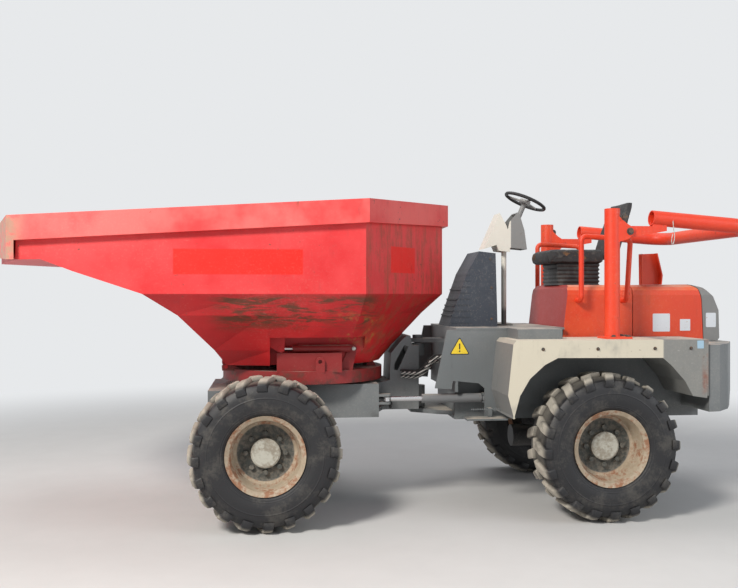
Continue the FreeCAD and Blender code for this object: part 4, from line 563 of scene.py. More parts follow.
def rim_red():
    f = Paint("rim_red", (0.72, 0.045, 0.045), (0.80, 0.12, 0.115))
    way = f.facing()
    # fading, and painted sunlight on the faces that look towards the left side
    faded = f.step(way[OUT], 0.2, 0.8) * f.step(f.noise(2.4, 4.0, 0.6), 0.3, 0.6)
    f.lay((0.86, 0.18, 0.16), faded * 0.7)
    scraped = f.step(f.noise(13.0, 6.0, 0.7), 0.36, 0.54)
    f.lay((0.40, 0.26, 0.18), f.step(f.x, *LIP_X) * scraped * 0.9)
    nicks = f.step(f.noise(9.0, 6.0, 0.75, f.moved((1.4, 1.4, 0.5))), 0.60, 0.72)
    f.lay(RUST, nicks * f.step(f.z, 2.15, 2.32) * 0.75)
    f.lay((0.30, 0.14, 0.06), f.step(way[UP], 0.7, 0.98) * scraped * 0.8)
    return f.age(dust=(0.55, 0.40, 0.33), dust_amount=0.5, chips=0.9, shine=0.38)


def table_red():
    # darker red: paint that the sun never bleached, and painted shade from the skip above
    f = Paint("table_red", (0.23, 0.010, 0.010), (0.30, 0.045, 0.040))
    caked = f.step(f.noise(10.0, 6.0, 0.7), 0.45, 0.66) * f.step(1.14 - f.z, 0.0, 0.10)
    f.lay((0.09, 0.030, 0.018), caked * 0.85)
    grease = f.step(1.03 - f.z, 0.0, 0.05) * f.step(f.noise(6.0), 0.4, 0.6)
    f.lay((0.02, 0.018, 0.016), grease * 0.7)
    return f.age(dust=(0.45, 0.34, 0.28), dust_amount=0.75, chips=0.7)


edge_red, base_red = rim_red(), table_red()
print("rim", edge_red.name, "turntable", base_red.name)

# %% [markdown]
# ## Tyre rubber
# The tread is filled with pale dried mud while the walls stay black, with a few rings that
# the mould leaves. The mud could be modelled, but it is thin, so it is a colour by distance
# from the axle. Each axle has its own material, because the distance starts at its centre.

# %% Tyre rubber
TREAD_RADIUS = (0.492, 0.524)
MOULDED_RINGS = (
    # inner radius, outer radius, softness
    (0.296, 0.302, 0.002), (0.312, 0.316, 0.0015), (0.396, 0.404, 0.003),
)


def tyre_rubber(name, centre_x):
    f = Finish(name)
    reach = f.reach(f.x - (centre_x - front_x), f.z - wheel_z)
    cloud = f.noise(7.0, 6.0, 0.65)
    fine = f.noise(60.0, 4.0, 0.6)
    walled = f.step(f.facing()[OUT].size(), 0.35, 0.8)
    caked = f.step(reach, *TREAD_RADIUS) * f.step(cloud, 0.22, 0.52) * (0.85 - walled * 0.3)
    dusty = (caked + f.step(cloud + fine * 0.3, 0.62, 0.90) * 0.10).least(1.0)
    rings = [f.band(reach, *ring) for ring in MOULDED_RINGS]
    moulded = rings[0] + rings[1] + rings[2]
    f.bump(fine * 0.5 + moulded * 1.5, 0.0025, 0.5)
    return f.set(Base_Color=f.mix((0.012, 0.012, 0.014), (0.47, 0.43, 0.36), dusty),
                 Roughness=0.56 + dusty * 0.34)


tyre_front, tyre_rear = tyre_rubber("tyre_front", front_x), tyre_rubber("tyre_rear", rear_x)
print("rubber", tyre_front.name, tyre_rear.name)

# %% [markdown]
# ## Wheel paint
# Each wheel has a pale barrel with rust in its well, a darker dish with the nuts, and a pale
# hub cap. They are one solid, painted at different times. Its faces could be given three
# materials, but paint doesn't end where faces do, so the three colours are told apart by
# their distance from the axle, like rings on a target.

# %% Wheel paint
CAP_RADIUS, DISH_RADIUS = 0.103, 0.196


def wheel_paint(name, centre_x):
    f = Finish(name)
    reach = f.reach(f.x - (centre_x - front_x), f.z - wheel_z)
    cloud = f.noise(9.0, 6.0, 0.65)
    fine = f.noise(40.0, 5.0, 0.6)
    barrel = f.mix((0.34, 0.27, 0.19), (0.50, 0.43, 0.33), f.step(cloud, 0.35, 0.65))
    barrel = f.mix(barrel, (0.24, 0.085, 0.03), f.step(cloud + fine * 0.4, 0.64, 0.84) * 0.85)
    dish = f.mix((0.055, 0.06, 0.055), (0.16, 0.145, 0.12), f.step(fine, 0.35, 0.7))
    cap = f.mix((0.46, 0.45, 0.39), (0.28, 0.25, 0.20), f.step(fine + cloud, 0.85, 1.2))
    inner = f.mix(cap, dish, f.step(reach, CAP_RADIUS, CAP_RADIUS + 0.002))
    base = f.mix(inner, barrel, f.step(reach, DISH_RADIUS, DISH_RADIUS + 0.010))
    f.bump(fine, 0.0015, 0.3)
    return f.set(Base_Color=base, Roughness=0.6 + fine * 0.25)


rim_front, rim_rear = wheel_paint("rim_front", front_x), wheel_paint("rim_rear", rear_x)
print("wheel paint", rim_front.name, rim_rear.name)

# %% [markdown]
# ## Rod, plastic, vinyl and steering wheel
# The rams' rods are chromed steel with fine scratches along them. The bellows are plain
# black plastic. The seat's vinyl is cracked, and foam shows brown along one edge: a layer
# again, because the tear is shallow. The steering wheel is a black ring on silver spokes.

# %% Rod, plastic, vinyl and steering wheel
TORN_Z = (1.93, 1.99)
SPOKE_RADIUS = 0.125


def bright_rod():
    f = Finish("bright_rod")
    fine = f.noise(30.0, 4.0, 0.6, f.moved((0.3, 3.0, 3.0)))
    f.bump(fine, 0.0004, 0.2)
    return f.set(Base_Color=f.mix((0.62, 0.62, 0.63), (0.40, 0.38, 0.34),
                                  f.step(fine, 0.5, 0.75)),
                 Metallic=1.0, Roughness=0.16 + fine * 0.2)


def black_plastic():
    f = Finish("black_plastic")
    fine = f.noise(70.0, 4.0, 0.6)
    f.bump(fine, 0.0008, 0.4)
    return f.set(Base_Color=f.mix((0.012, 0.012, 0.013), (0.06, 0.058, 0.055),
                                  f.step(f.noise(12.0), 0.45, 0.75)),
                 Roughness=0.45 + fine * 0.25)


def torn_vinyl():
    f = Finish("torn_vinyl")
    fine = f.noise(90.0, 4.0, 0.6)
    cracks = f.noise(22.0, 6.0, 0.7, twist=0.8)
    torn = f.step(f.noise(8.0, 4.0, 0.6), 0.56, 0.62) * f.band(f.z, *TORN_Z, 0.02)
    base = f.mix((0.016, 0.016, 0.017), (0.055, 0.052, 0.048), f.step(cracks, 0.5, 0.7))
    base = f.mix(base, (0.17, 0.085, 0.035), torn * 0.9)
    f.bump(fine + cracks, 0.0015, 0.4)
    return f.set(Base_Color=base, Roughness=0.5 + fine * 0.25 + torn * 0.2)


def wheel_black():
    f = Finish("wheel_black")
    centre = middle("steering_wheel")
    reach = f.reach(f.x - (centre.x - front_x), f.y - centre.y)
    fine = f.noise(50.0, 4.0, 0.6)
    silver = (1.0 - f.step(reach, SPOKE_RADIUS, SPOKE_RADIUS + 0.005)) * f.step(fine, 0.2, 0.5)
    return f.set(Base_Color=f.mix((0.014, 0.014, 0.015), (0.30, 0.30, 0.29), silver),
                 Roughness=0.4 + fine * 0.3)


rod_finish, plastic = bright_rod(), black_plastic()
vinyl, wheel_finish = torn_vinyl(), wheel_black()
print("finishes so far", len(bpy.data.materials))

# %% [markdown]
# ## Each CAD node gets its finish
# The solids stay as they were packed and only take a material. A table of finishes and nodes
# is easier to read, and to change, than one line for each of the thirty-nine.

# %% Finishes on the CAD nodes
FINISHES = (
    # finish, nodes
    (grey, ("front_chassis", "rear_frame", "platform", "counterweight", "steps")),
    (barrel_grey, ("steer_barrel",)),
    (pale_grille, ("rear_grille",)),
    (guard, ("mudguard_left", "mudguard_right")),
    (orange, ("engine_cover", "hood", "hood_bracket")),
    (tube, ("rops_posts", "rops_hoop", "guard_rails")),
    (cowl, ("console",)),
    (cream, ("steering_column",)),
    (iron, ("front_axle", "rear_axle", "slew_ring", "engine_block")),
    (red, ("skip_shell",)),
    (edge_red, ("skip_rim",)),
    (base_red, ("turntable", "tip_ram_barrels")),
    (rod_finish, ("tip_ram_rods", "steer_rod")),
    (wheel_finish, ("steering_wheel",)),
    (vinyl, ("seat_cushion", "seat_backrest", "seat_suspension")),
    (tyre_front, ("tyre_front_left", "tyre_front_right")),
    (tyre_rear, ("tyre_rear_left", "tyre_rear_right")),
    (rim_front, ("rim_front_left", "rim_front_right")),
    (rim_rear, ("rim_rear_left", "rim_rear_right")),
)
for finish, names in FINISHES:
    for node_name in names:
        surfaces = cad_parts[node_name].data.materials
        surfaces.clear()
        surfaces.append(finish)
print("dressed", sum(len(row[1]) for row in FINISHES), "nodes")

# %% [markdown]
# ## The floor melts into the backdrop
# A studio has a paper sweep with no edge between floor and wall. A curved sheet could do it,
# but a flat floor that glows with the backdrop's own tone far away does the same and throws
# no shadow. Only rays that see it directly get the glow, so it doesn't light the machine.

# %% Floor finish
MIDDLE_X = -0.84
MELT_RADIUS = (4.0, 9.5)


def floor_finish():
    f = Finish("studio_floor")
    speck = f.noise(3.0, 5.0, 0.6)
    f.set(Base_Color=f.mix((0.58, 0.575, 0.565), (0.64, 0.635, 0.625), speck), Roughness=0.85)
    away = f.step(f.reach(f.x - MIDDLE_X, f.y), *MELT_RADIUS)
    glow = f.node("ShaderNodeEmission", Color=PALE, Strength=1.0)
    show_mixed(f.tree, f.shader.outputs[0], glow, away * seen_directly(f.tree),
               "Material Output")
    return f.material


floor.data.materials.append(floor_finish())
print("floor melts from", MELT_RADIUS[0], "m")

# %% [markdown]
# ## A small workbench
# New pieces are made as by hand: a primitive at its size and place, shaped in edit mode, then
# rounded by a modifier that is applied. Faces and edges could be picked by number, but the
# numbers change with every cut, so faces are picked by the way they look, and edges by the
# way they run.

# %% Workbench: start and pick
SAME_WAY = 0.9


def select_only(piece=None):
    """Select one piece, or nothing, and make it the active one."""
    bpy.ops.object.select_all(action="DESELECT")
    if piece:
        bpy.context.view_layer.objects.active = piece
        piece.select_set(True)


def own(name):
    """The piece just added, named, with its place and size put into its mesh."""
    piece = bpy.context.object
    piece.name = name
    piece.data.name = name
    bpy.ops.object.transform_apply(location=True, rotation=True, scale=True)
    return piece


def block(name, low, high):
    """A box between two corners, given from the front axle."""
    x, y, z = [(a + b) / 2 for a, b in zip(low, high)]
    select_only()
    bpy.ops.mesh.primitive_cube_add(size=1, location=(x + front_x, y, z))
    bpy.context.object.scale = [b - a for a, b in zip(low, high)]
    return own(name)


def block_in(name, low, high):
    """A box between two corners, given in the frame's own coordinates."""
    return block(name, (low.x - front_x, low.y, low.z), (high.x - front_x, high.y, high.z))


def hold(piece, kind="FACE"):
    """Take a piece into edit mode with nothing picked."""
    select_only(piece)
    bpy.ops.object.mode_set(mode="EDIT")
    bpy.ops.mesh.select_mode(type=kind)
    bpy.ops.mesh.select_all(action="DESELECT")


def put_down(piece):
    bpy.ops.object.mode_set(mode="OBJECT")
    bpy.ops.object.select_all(action="DESELECT")
    return piece


def pick_facing(piece, way):
    """Pick the faces that look one way."""
    body = bmesh.from_edit_mesh(piece.data)
    for face in body.faces:
        face.select_set(face.normal.dot(Vector(way)) > SAME_WAY)
    bmesh.update_edit_mesh(piece.data)


def pick_crossing(piece, length):
    """Pick the edges that run across the machine for more than this length."""
    body = bmesh.from_edit_mesh(piece.data)
    for edge in body.edges:
        first, last = [v.co for v in edge.verts]
        edge.select_set(abs(last.y - first.y) > length)
    bmesh.update_edit_mesh(piece.data)


def cut(at, way):
    """Cut the held piece through by a plane."""
    bpy.ops.mesh.select_all(action="SELECT")
    bpy.ops.mesh.bisect(plane_co=at, plane_no=way)


print("workbench: start and pick")

# %% [markdown]
# ## Finishing a piece
# Every real edge is broken a little, so a bevel goes on last. Copies could share one mesh,
# but then they couldn't be turned or mirrored in place, so each gets its own. When a piece is
# done it gets its finish, and it rides on the body that carries it, so that it follows every
# joint.

# %% Workbench: finish and tie
pieces = []


def use(piece, modifier):
    bpy.context.view_layer.objects.active = piece
    bpy.ops.object.modifier_apply(modifier=modifier.name)


def rounded(piece, width, steps=2, angle=30):
    """Break the sharp edges as a file or a press would."""
    bevel = piece.modifiers.new("edge", "BEVEL")
    bevel.width = width
    bevel.segments = steps
    bevel.limit_method = "ANGLE"
    bevel.angle_limit = math.radians(angle)
    use(piece, bevel)
    return piece


def smooth(piece, angle=35):
    select_only(piece)
    bpy.ops.object.shade_smooth_by_angle(angle=math.radians(angle))
    piece.select_set(False)
    return piece


def copy_of(piece, name, place):
    """A copy with its own mesh, put in its place by a matrix."""
    twin = piece.copy()
    twin.data = piece.data.copy()
    twin.name = name
    bpy.context.scene.collection.objects.link(twin)
    twin.data.transform(place)
    if place.determinant() < 0:
        twin.data.flip_normals()
    return twin


def welded(name, parts):
    """Several pieces as one object."""
    select_only()
    for part in parts:
        part.select_set(True)
    bpy.context.view_layer.objects.active = parts[0]
    if len(parts) > 1:
        bpy.ops.object.join()
    parts[0].name = name
    parts[0].select_set(False)
    return parts[0]


def done(piece, body, finish, replaces=()):
    """Give the piece its finish, and tie it to the body that carries it, if one does."""
    piece.data.materials.clear()
    piece.data.materials.append(finish)
    if body:
        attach(piece, body)
    if replaces:
        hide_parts(*replaces)
    pieces.append((piece.name, sum(len(p.vertices) - 2 for p in piece.data.polygons)))
    return piece


print("workbench: finish and tie")

# %% [markdown]
# ## The tyre's carcass
# A site tyre is a round carcass, moulded between two steel shells. It could be a torus, but
# its walls are flat and its shoulders square, so its real section is spun about the axle. The
# half section is listed from the bead outwards, and the far half is its mirror.

# %% Carcass
CARCASS = (
    # across, radius
    (0.150, 0.2545), (0.160, 0.262), (0.172, 0.279), (0.189, 0.310), (0.1985, 0.360),
    (0.196, 0.430), (0.187, 0.468), (0.170, 0.488), (0.130, 0.500), (0.065, 0.503),
)
SPIN_STEPS = 60
WELD_GAP = 0.0002
hub = Vector((front_x, wheel_y, wheel_z))


def carcass():
    far_half = [(-out, radius) for out, radius in reversed(CARCASS)]
    profile = [*CARCASS, *far_half]
    select_only()
    bpy.ops.mesh.primitive_circle_add(vertices=len(profile), radius=1, location=(0, 0, 0))
    ring = own("carcass")
    for corner, (out, radius) in zip(ring.data.vertices, profile):
        corner.co = hub + Vector((0, out, radius))
    hold(ring, "VERT")
    bpy.ops.mesh.select_all(action="SELECT")
    bpy.ops.mesh.spin(steps=SPIN_STEPS, angle=2 * math.pi, center=hub, axis=(0, 1, 0))
    bpy.ops.mesh.select_all(action="SELECT")
    bpy.ops.mesh.remove_doubles(threshold=WELD_GAP)
    bpy.ops.mesh.normals_make_consistent(inside=False)
    return put_down(ring)


tyre_body = carcass()
print("carcass", len(tyre_body.data.polygons), "faces")

# %% [markdown]
# ## One tread bar
# Two rows of bars lean against each other and bend down over the shoulder. A bar could be
# swept along a curve, but its section changes on the way, so it is a block cut into rows,
# and each row gets its own height, width and lean before the edges are rounded.

# %% Tread bar
BAR_ROWS = (
    # across, top radius, root radius, half width, bend along
    (0.008, 0.5335, 0.480, 0.036, -0.028), (0.045, 0.5345, 0.480, 0.033, -0.022),
    (0.095, 0.5345, 0.478, 0.031, -0.010), (0.142, 0.5315, 0.470, 0.030, 0.007),
    (0.180, 0.5150, 0.455, 0.030, 0.019), (0.202, 0.4930, 0.446, 0.029, 0.026),
)
BAR_MIDDLE = 0.50
ROOT_FLARE = 0.009


def tread_bar():
    first, last = BAR_ROWS[0][0], BAR_ROWS[-1][0]
    bar = block("bar", (-0.04, wheel_y + first, wheel_z + BAR_MIDDLE - 0.03),
                (0.04, wheel_y + last, wheel_z + BAR_MIDDLE + 0.03))
    hold(bar)
    for row in BAR_ROWS[1:-1]:
        cut(hub + Vector((0, row[0], 0)), (0, 1, 0))
    put_down(bar)
    for corner in bar.data.vertices:
        across = corner.co.y - wheel_y
        out, top, root, half, bend = min(BAR_ROWS, key=lambda row: abs(across - row[0]))
        side = 1 if corner.co.x > front_x else -1
        upper = corner.co.z > wheel_z + BAR_MIDDLE
        wide = half if upper else half + ROOT_FLARE
        corner.co = hub + Vector((side * wide + bend, out, top if upper else root))
    return rounded(bar, 0.006, 2, 25)


bar = tread_bar()
print("bar", len(bar.data.polygons), "faces")

# %% [markdown]
# ## Four tyres
# The bar is set twenty times on each side, half a pitch apart, where the CAD's flat bars
# stand. One tyre is built, and its three sisters are copies moved to their axles and sides.
# They take the place of the CAD's twenty-sided tyres in the picture.

# %% Tyres
BARS_A_SIDE = 20


def turned(share):
    """A turn about the wheel's own axle, by a share of a full circle."""
    turn = Matrix.Rotation(2 * math.pi * share, 4, "Y")
    return Matrix.Translation(hub) @ turn @ Matrix.Translation(-hub)


across_wheel = Matrix.Translation((0, 2 * wheel_y, 0)) @ Matrix.Diagonal((1, -1, 1, 1))
far_bar = copy_of(bar, "bar", across_wheel)
parts = [tyre_body]
for i in range(BARS_A_SIDE):
    parts.append(copy_of(bar, "bar", turned(i / BARS_A_SIDE)))
for i in range(BARS_A_SIDE):
    parts.append(copy_of(far_bar, "bar", turned((i + 0.5) / BARS_A_SIDE)))
bpy.data.objects.remove(bar)
bpy.data.objects.remove(far_bar)
pattern = smooth(welded("tyre_pattern", parts), 32)
for end, along, rubber in (("front", 0.0, tyre_front), ("rear", rear_x - front_x, tyre_rear)):
    for side, across in (("left", 0.0), ("right", -2 * wheel_y)):
        wheel = end + "_" + side
        piece = copy_of(pattern, "dressed_tyre_" + wheel, Matrix.Translation((along, across, 0)))
        done(piece, "wheel_" + wheel, rubber, ["tyre_" + wheel])
bpy.data.objects.remove(pattern)
print("tyres", pieces[-4:])

# %% [markdown]
# ## Soft pads
# The seat is a vinyl cushion and back over foam. A rounded block would look like wood, so
# each pad starts as a block a little smaller than its CAD solid, with its corners pressed
# in, is remeshed finely, and is blown up by a cloth simulation, so that the faces crown and
# the edges stay drawn in. No point may move further than a cap, so the pad keeps its place.

# %% Pad and air
VOXEL, QUICK_VOXEL = 0.0065, 0.009
AIR_FRAMES = 20


def pad(name, node, swell):
    """A soft pad's first shape, inside its CAD solid's space."""
    low, high = corners(node)
    inset = Vector((swell, swell, swell * 0.7))
    low, high = low + inset, high - inset
    piece = block_in(name, low, high)
    hold(piece)
    bpy.ops.mesh.select_all(action="SELECT")
    bpy.ops.mesh.subdivide(number_cuts=7)
    put_down(piece)
    mid, half = (low + high) / 2, (high - low) / 2
    for corner in piece.data.vertices:
        part = Vector([(c - m) / h for c, m, h in zip(corner.co, mid, half)])
        draw = 1.0 - 0.06 * (part.x ** 2) * (part.y ** 2) - 0.05 * (part.x ** 2) * (part.z ** 2)
        corner.co.x = mid.x + part.x * half.x * draw
        corner.co.y = mid.y + part.y * half.y * (1.0 - 0.06 * part.x ** 2)
    return piece


def plumped(piece, cap):
    """Remesh, blow up a little, and hold every point within the cap."""
    remesh = piece.modifiers.new("fine", "REMESH")
    remesh.mode = "VOXEL"
    remesh.voxel_size = VOXEL
    use(piece, remesh)
    start_at = [v.co.copy() for v in piece.data.vertices]
    cloth = piece.modifiers.new("air", "CLOTH")
    cloth.settings.use_pressure = True
    cloth.settings.uniform_pressure_force = 4.0
    cloth.settings.effector_weights.gravity = 0
    cloth.point_cache.frame_start = 1
    cloth.point_cache.frame_end = AIR_FRAMES
    for frame_number in range(1, AIR_FRAMES + 1):
        bpy.context.scene.frame_set(frame_number)
    use(piece, cloth)
    bpy.context.scene.frame_set(1)
    for corner, start in zip(piece.data.vertices, start_at):
        step = corner.co - start
        if step.length > cap:
            corner.co = start + step * (cap / step.length)
    soft = piece.modifiers.new("soft", "SUBSURF")
    soft.levels = soft.render_levels = 1
    use(piece, soft)
    return smooth(piece, 60)


print("pads: voxel", VOXEL, "m")

# %% [markdown]
# ## Cushion and backrest
# The cushion's front edge dips, where legs press it. The backrest leans back along a curve
# and narrows towards its top. Both shapes are given to the block before it is remeshed, when
# it still has few points to move, and both pads replace the plain solids behind them.

# %% Cushion and backrest


def seat_cushion():
    low, high = corners("seat_cushion")
    piece = pad("seat_cushion_pad", "seat_cushion", 0.014)
    for corner in piece.data.vertices:
        share = (corner.co.x - low.x) / (high.x - low.x)
        if corner.co.z > low.z + 0.05:
            corner.co.z -= 0.012 * max(0.0, share - 0.8) / 0.2
    return plumped(piece, 0.012)


def seat_back():
    low, high = corners("seat_backrest")
    piece = pad("seat_back_pad", "seat_backrest", 0.012)
    for corner in piece.data.vertices:
        share = (corner.co.z - low.z) / (high.z - low.z)
        front = high.x - 0.02 - 0.165 * share ** 1.15
        rear = front - 0.075 + 0.012 * share
        part = (corner.co.x - low.x) / (high.x - low.x)
        corner.co.x = rear + (front - rear) * part
        corner.co.y *= 1.0 - 0.16 * max(0.0, share - 0.6) / 0.4
    return plumped(piece, 0.010)


cushion = done(seat_cushion(), "rear_frame", vinyl, ["seat_cushion"])
backrest = done(seat_back(), "rear_frame", vinyl, ["seat_backrest"])
print("pads", pieces[-2:])

# %% [markdown]
# ## The bellows under the seat
# Rubber folds hide the seat's springs. They could be stacked rings, but the real ones are one
# moulding, so a block is cut in rows, and every other row is drawn in towards the middle.

# %% Bellows
FOLD_ROWS = 11


def bellows():
    low, high = corners("seat_suspension")
    centre = (low + high) / 2
    piece = block_in("seat_bellows", low, high)
    hold(piece)
    for i in range(1, FOLD_ROWS):
        cut((0, 0, low.z + (high.z - low.z) * i / FOLD_ROWS), (0, 0, 1))
    put_down(piece)
    for corner in piece.data.vertices:
        row = round((corner.co.z - low.z) / (high.z - low.z) * FOLD_ROWS)
        share = 0.94 if row % 2 else 1.0
        if row == FOLD_ROWS:
            share = 0.98
        for axis in (0, 1):
            corner.co[axis] = centre[axis] + (corner.co[axis] - centre[axis]) * share
    return smooth(rounded(piece, 0.004, 2), 30)


done(bellows(), "rear_frame", plastic, ["seat_suspension"])
print("bellows", pieces[-1])

# %% [markdown]
# ## One bolt
# A bolt is a hexagon head with a dished top, on a round washer. Heads could be plain discs,
# but their flats catch the light. One is made, and copies are set wherever plates meet, all
# of one place joined to one object, because they never move apart.

# %% Bolt
WASHER_TALL = 0.002


def bolt(name, radius, tall):
    """A hexagon head with its washer, standing up from the origin."""
    select_only()
    bpy.ops.mesh.primitive_cylinder_add(vertices=6, radius=radius, depth=tall,
                                        location=(0, 0, tall / 2 + WASHER_TALL))
    head = own(name)
    hold(head)
    pick_facing(head, (0, 0, 1))
    bpy.ops.mesh.inset(thickness=radius * 0.18, depth=tall * 0.12)
    bpy.ops.mesh.inset(thickness=radius * 0.16, depth=-tall * 0.10)
    put_down(head)
    bpy.ops.mesh.primitive_cylinder_add(vertices=16, radius=radius * 1.45, depth=WASHER_TALL,
                                        location=(0, 0, WASHER_TALL / 2))
    washer = own("washer")
    hold(washer)
    pick_facing(washer, (0, 0, 1))
    bpy.ops.mesh.inset(thickness=radius * 0.1, depth=0.0003)
    put_down(washer)
    return welded(name, [head, washer])


def bolted(name, spots, facing, body, finish, radius=0.012, tall=0.008):
    """One object of many bolts: spots from the front axle, all facing one way."""
    model = bolt("bolt_model", radius, tall)
    turn = Vector(facing).to_track_quat("Z", "Y").to_matrix().to_4x4()
    heads = []
    for x, y, z in spots:
        heads.append(copy_of(model, "head", Matrix.Translation((x + front_x, y, z)) @ turn))
    bpy.data.objects.remove(model)
    return done(welded(name, heads), body, finish)


def bolt_metal(name, clean, rusty, rust_span, metal, rough):
    f = Finish(name)
    fine = f.noise(60.0, 5.0, 0.6)
    f.bump(fine, 0.0005, 0.3)
    return f.set(Base_Color=f.mix(clean, rusty, f.step(fine, *rust_span)), Metallic=metal,
                 Roughness=rough + fine * 0.3)


steel = bolt_metal("bolt_steel", (0.09, 0.085, 0.08), (0.20, 0.10, 0.05), (0.45, 0.7), 0.6, 0.45)
zinc = bolt_metal("pale_zinc", (0.50, 0.49, 0.46), (0.32, 0.25, 0.18), (0.5, 0.75), 0.5, 0.4)
print("bolt metals", steel.name, zinc.name)

# %% [markdown]
# ## Bolts in their places
# Five hold each post's foot, four run along each guard's seam, two are the hoop's hinge, and
# three hold the cowl's left side. Both sides of the machine come from one loop, and heights
# and widths are taken from the guards' own box, so that the heads sit on the sheet.

# %% Bolts
POST_Y = 0.75
FOOT_PLATE = 0.016
guard_side, guard_top = corners("mudguard_left")[1].yz
for side, hand in (("left", 1), ("right", -1)):
    feet = [(x, hand * (POST_Y + across), guard_top + FOOT_PLATE) for x in (-2.682, -2.566)
            for across in (-0.070, 0.070)]
    feet += [(-2.682, hand * POST_Y, guard_top + FOOT_PLATE)]
    bolted("post_bolts_" + side, feet, (0, 0, 1), "rear_frame", steel, 0.014, 0.010)
    seam = [(x, hand * guard_side, 1.252) for x in (-1.98, -2.39, -2.823, -3.10)]
    bolted("guard_bolts_" + side, seam, (0, hand, 0), "rear_frame", steel, 0.009)
    hinge = [(-2.7045, hand * (POST_Y + 0.0505), 2.1185),
             (-2.66, hand * (POST_Y + 0.0495), 2.225)]
    bolted("hoop_bolts_" + side, hinge, (0, hand, 0), "rear_frame", steel, 0.019,
           0.012)
COWL_Y = 0.205
cowl_spots = [(x, COWL_Y, z) for x, z in ((-1.80, 1.45), (-1.80, 1.70), (-1.79, 1.93))]
bolted("cowl_bolts", cowl_spots, (0, 1, 0), "rear_frame", steel, 0.007, 0.005)
print("bolts", pieces[-7:])

# %% [markdown]
# ## Stickers and plates
# Each is a thin plate with rounded corners. The words are gone and the plates are blank. A
# layer of colour could stand for them, but a plate's edge catches light, so they are thin
# blocks with their four cross edges bevelled, and their film is worn in small spots.

# %% Plates
FILM_THICK = 0.0016


def sticker_film(name, colour, edge):
    f = Finish(name)
    fine = f.noise(45.0, 5.0, 0.65)
    worn = f.step(fine, 0.60, 0.72)
    return f.set(Base_Color=f.mix(colour, edge, worn * 0.7), Roughness=0.38 + fine * 0.25)


def round_corners(piece, thick, corner, steps=4):
    """Round a thin plate's corners, seen from the side."""
    hold(piece, "EDGE")
    pick_crossing(piece, thick * 0.8)
    bpy.ops.mesh.bevel(offset=corner, segments=steps)
    return put_down(piece)


pale_film = sticker_film("pale_film", (0.62, 0.66, 0.70), (0.40, 0.25, 0.18))
blue_film = sticker_film("blue_film", (0.34, 0.50, 0.62), (0.45, 0.44, 0.40))
yellow_film = sticker_film("yellow_film", (0.78, 0.56, 0.03), (0.50, 0.42, 0.20))
black_film = sticker_film("black_film", (0.018, 0.018, 0.018), (0.10, 0.09, 0.07))
hood_side = corners("hood")[1].y
PLATES = (
    # name, rear x, front x, low z, high z, side face, body, slot, film, corner
    ("hood_sticker_large", -3.188, -3.045, 1.352, 1.495, hood_side, "hood", "orange_paint",
     pale_film, 0.008),
    ("hood_sticker_small", -3.358, -3.272, 1.358, 1.450, hood_side, "hood", "orange_paint",
     pale_film, 0.005),
    ("grille_plate", -3.574, -3.490, 1.385, 1.500, hood_side, "hood", "grey_paint",
     pale_film, 0.008),
    ("guard_sticker", -3.198, -3.148, 1.250, 1.308, guard_side, "rear_frame", "grey_paint",
     blue_film, 0.004),
)
for name, rear, front, low, high, face, body, slot, film, corner in PLATES:
    plate = block(name, (rear, face, low), (front, face + FILM_THICK, high))
    done(round_corners(plate, FILM_THICK, corner), body, film)
print("plates", pieces[-4:])

# %% [markdown]
# ## The warning triangle
# The yellow triangle on the left side plate is the general warning sign: a black border, a
# yellow field and a stroke with a dot. Three thin layers lie on each other, because that is
# how a printed sign gets its sharp edges without any picture.

# %% Warning triangle
SIDE_PLATE_Y = 0.5
SIGN_X, SIGN_Z = -1.472, 1.232


def triangle(name, wide, y, thick, corner):
    """A three-cornered plate that stands on its base, with its corners rounded."""
    select_only()
    spot = (SIGN_X + front_x, y + thick / 2, SIGN_Z)
    bpy.ops.mesh.primitive_cylinder_add(vertices=3, radius=wide / math.sqrt(3), depth=thick,
                                        location=spot, rotation=(-math.pi / 2, 0, 0))
    piece = own(name)
    top = max(v.co.z for v in piece.data.vertices)
    if sum(abs(v.co.z - top) < 1e-4 for v in piece.data.vertices) > 2:
        upside = Matrix.Translation((0, 0, 2 * SIGN_Z)) @ Matrix.Diagonal((1, 1, -1, 1))
        piece.data.transform(upside)
        piece.data.flip_normals()
    return round_corners(piece, thick, corner)


border = triangle("warning_border", 0.158, SIDE_PLATE_Y, 0.0010, 0.016)
done(border, "rear_frame", black_film)
field = triangle("warning_field", 0.136, SIDE_PLATE_Y + 0.0011, 0.0006, 0.010)
done(field, "rear_frame", yellow_film)
stroke = block("warning_stroke", (SIGN_X - 0.005, SIDE_PLATE_Y + 0.0018, 1.226),
               (SIGN_X + 0.005, SIDE_PLATE_Y + 0.0024, 1.272))
round_corners(stroke, 0.0005, 0.004, 3)
bpy.ops.mesh.primitive_cylinder_add(vertices=20, radius=0.0065, depth=0.0006,
                                    location=(SIGN_X + front_x, SIDE_PLATE_Y + 0.0021, 1.212),
                                    rotation=(math.pi / 2, 0, 0))
dot = own("warning_dot")
hold(dot)
pick_facing(dot, (0, 1, 0))
bpy.ops.mesh.inset(thickness=0.001, depth=0.0001)
put_down(dot)
done(welded("warning_mark", [stroke, dot]), "rear_frame", black_film)
print("sign", pieces[-3:])

# %% [markdown]
# ## A hose and its rubber
# A hose is one smooth curve with a round section. Its ends are clamped, so it isn't a free
# cord, and it could be spun or swept by hand, but a curve with a bevel gives the same tube
# from a few points. A pale spiral guard is wound round two of them, as a wave in the colour.

# %% Hose and rubber


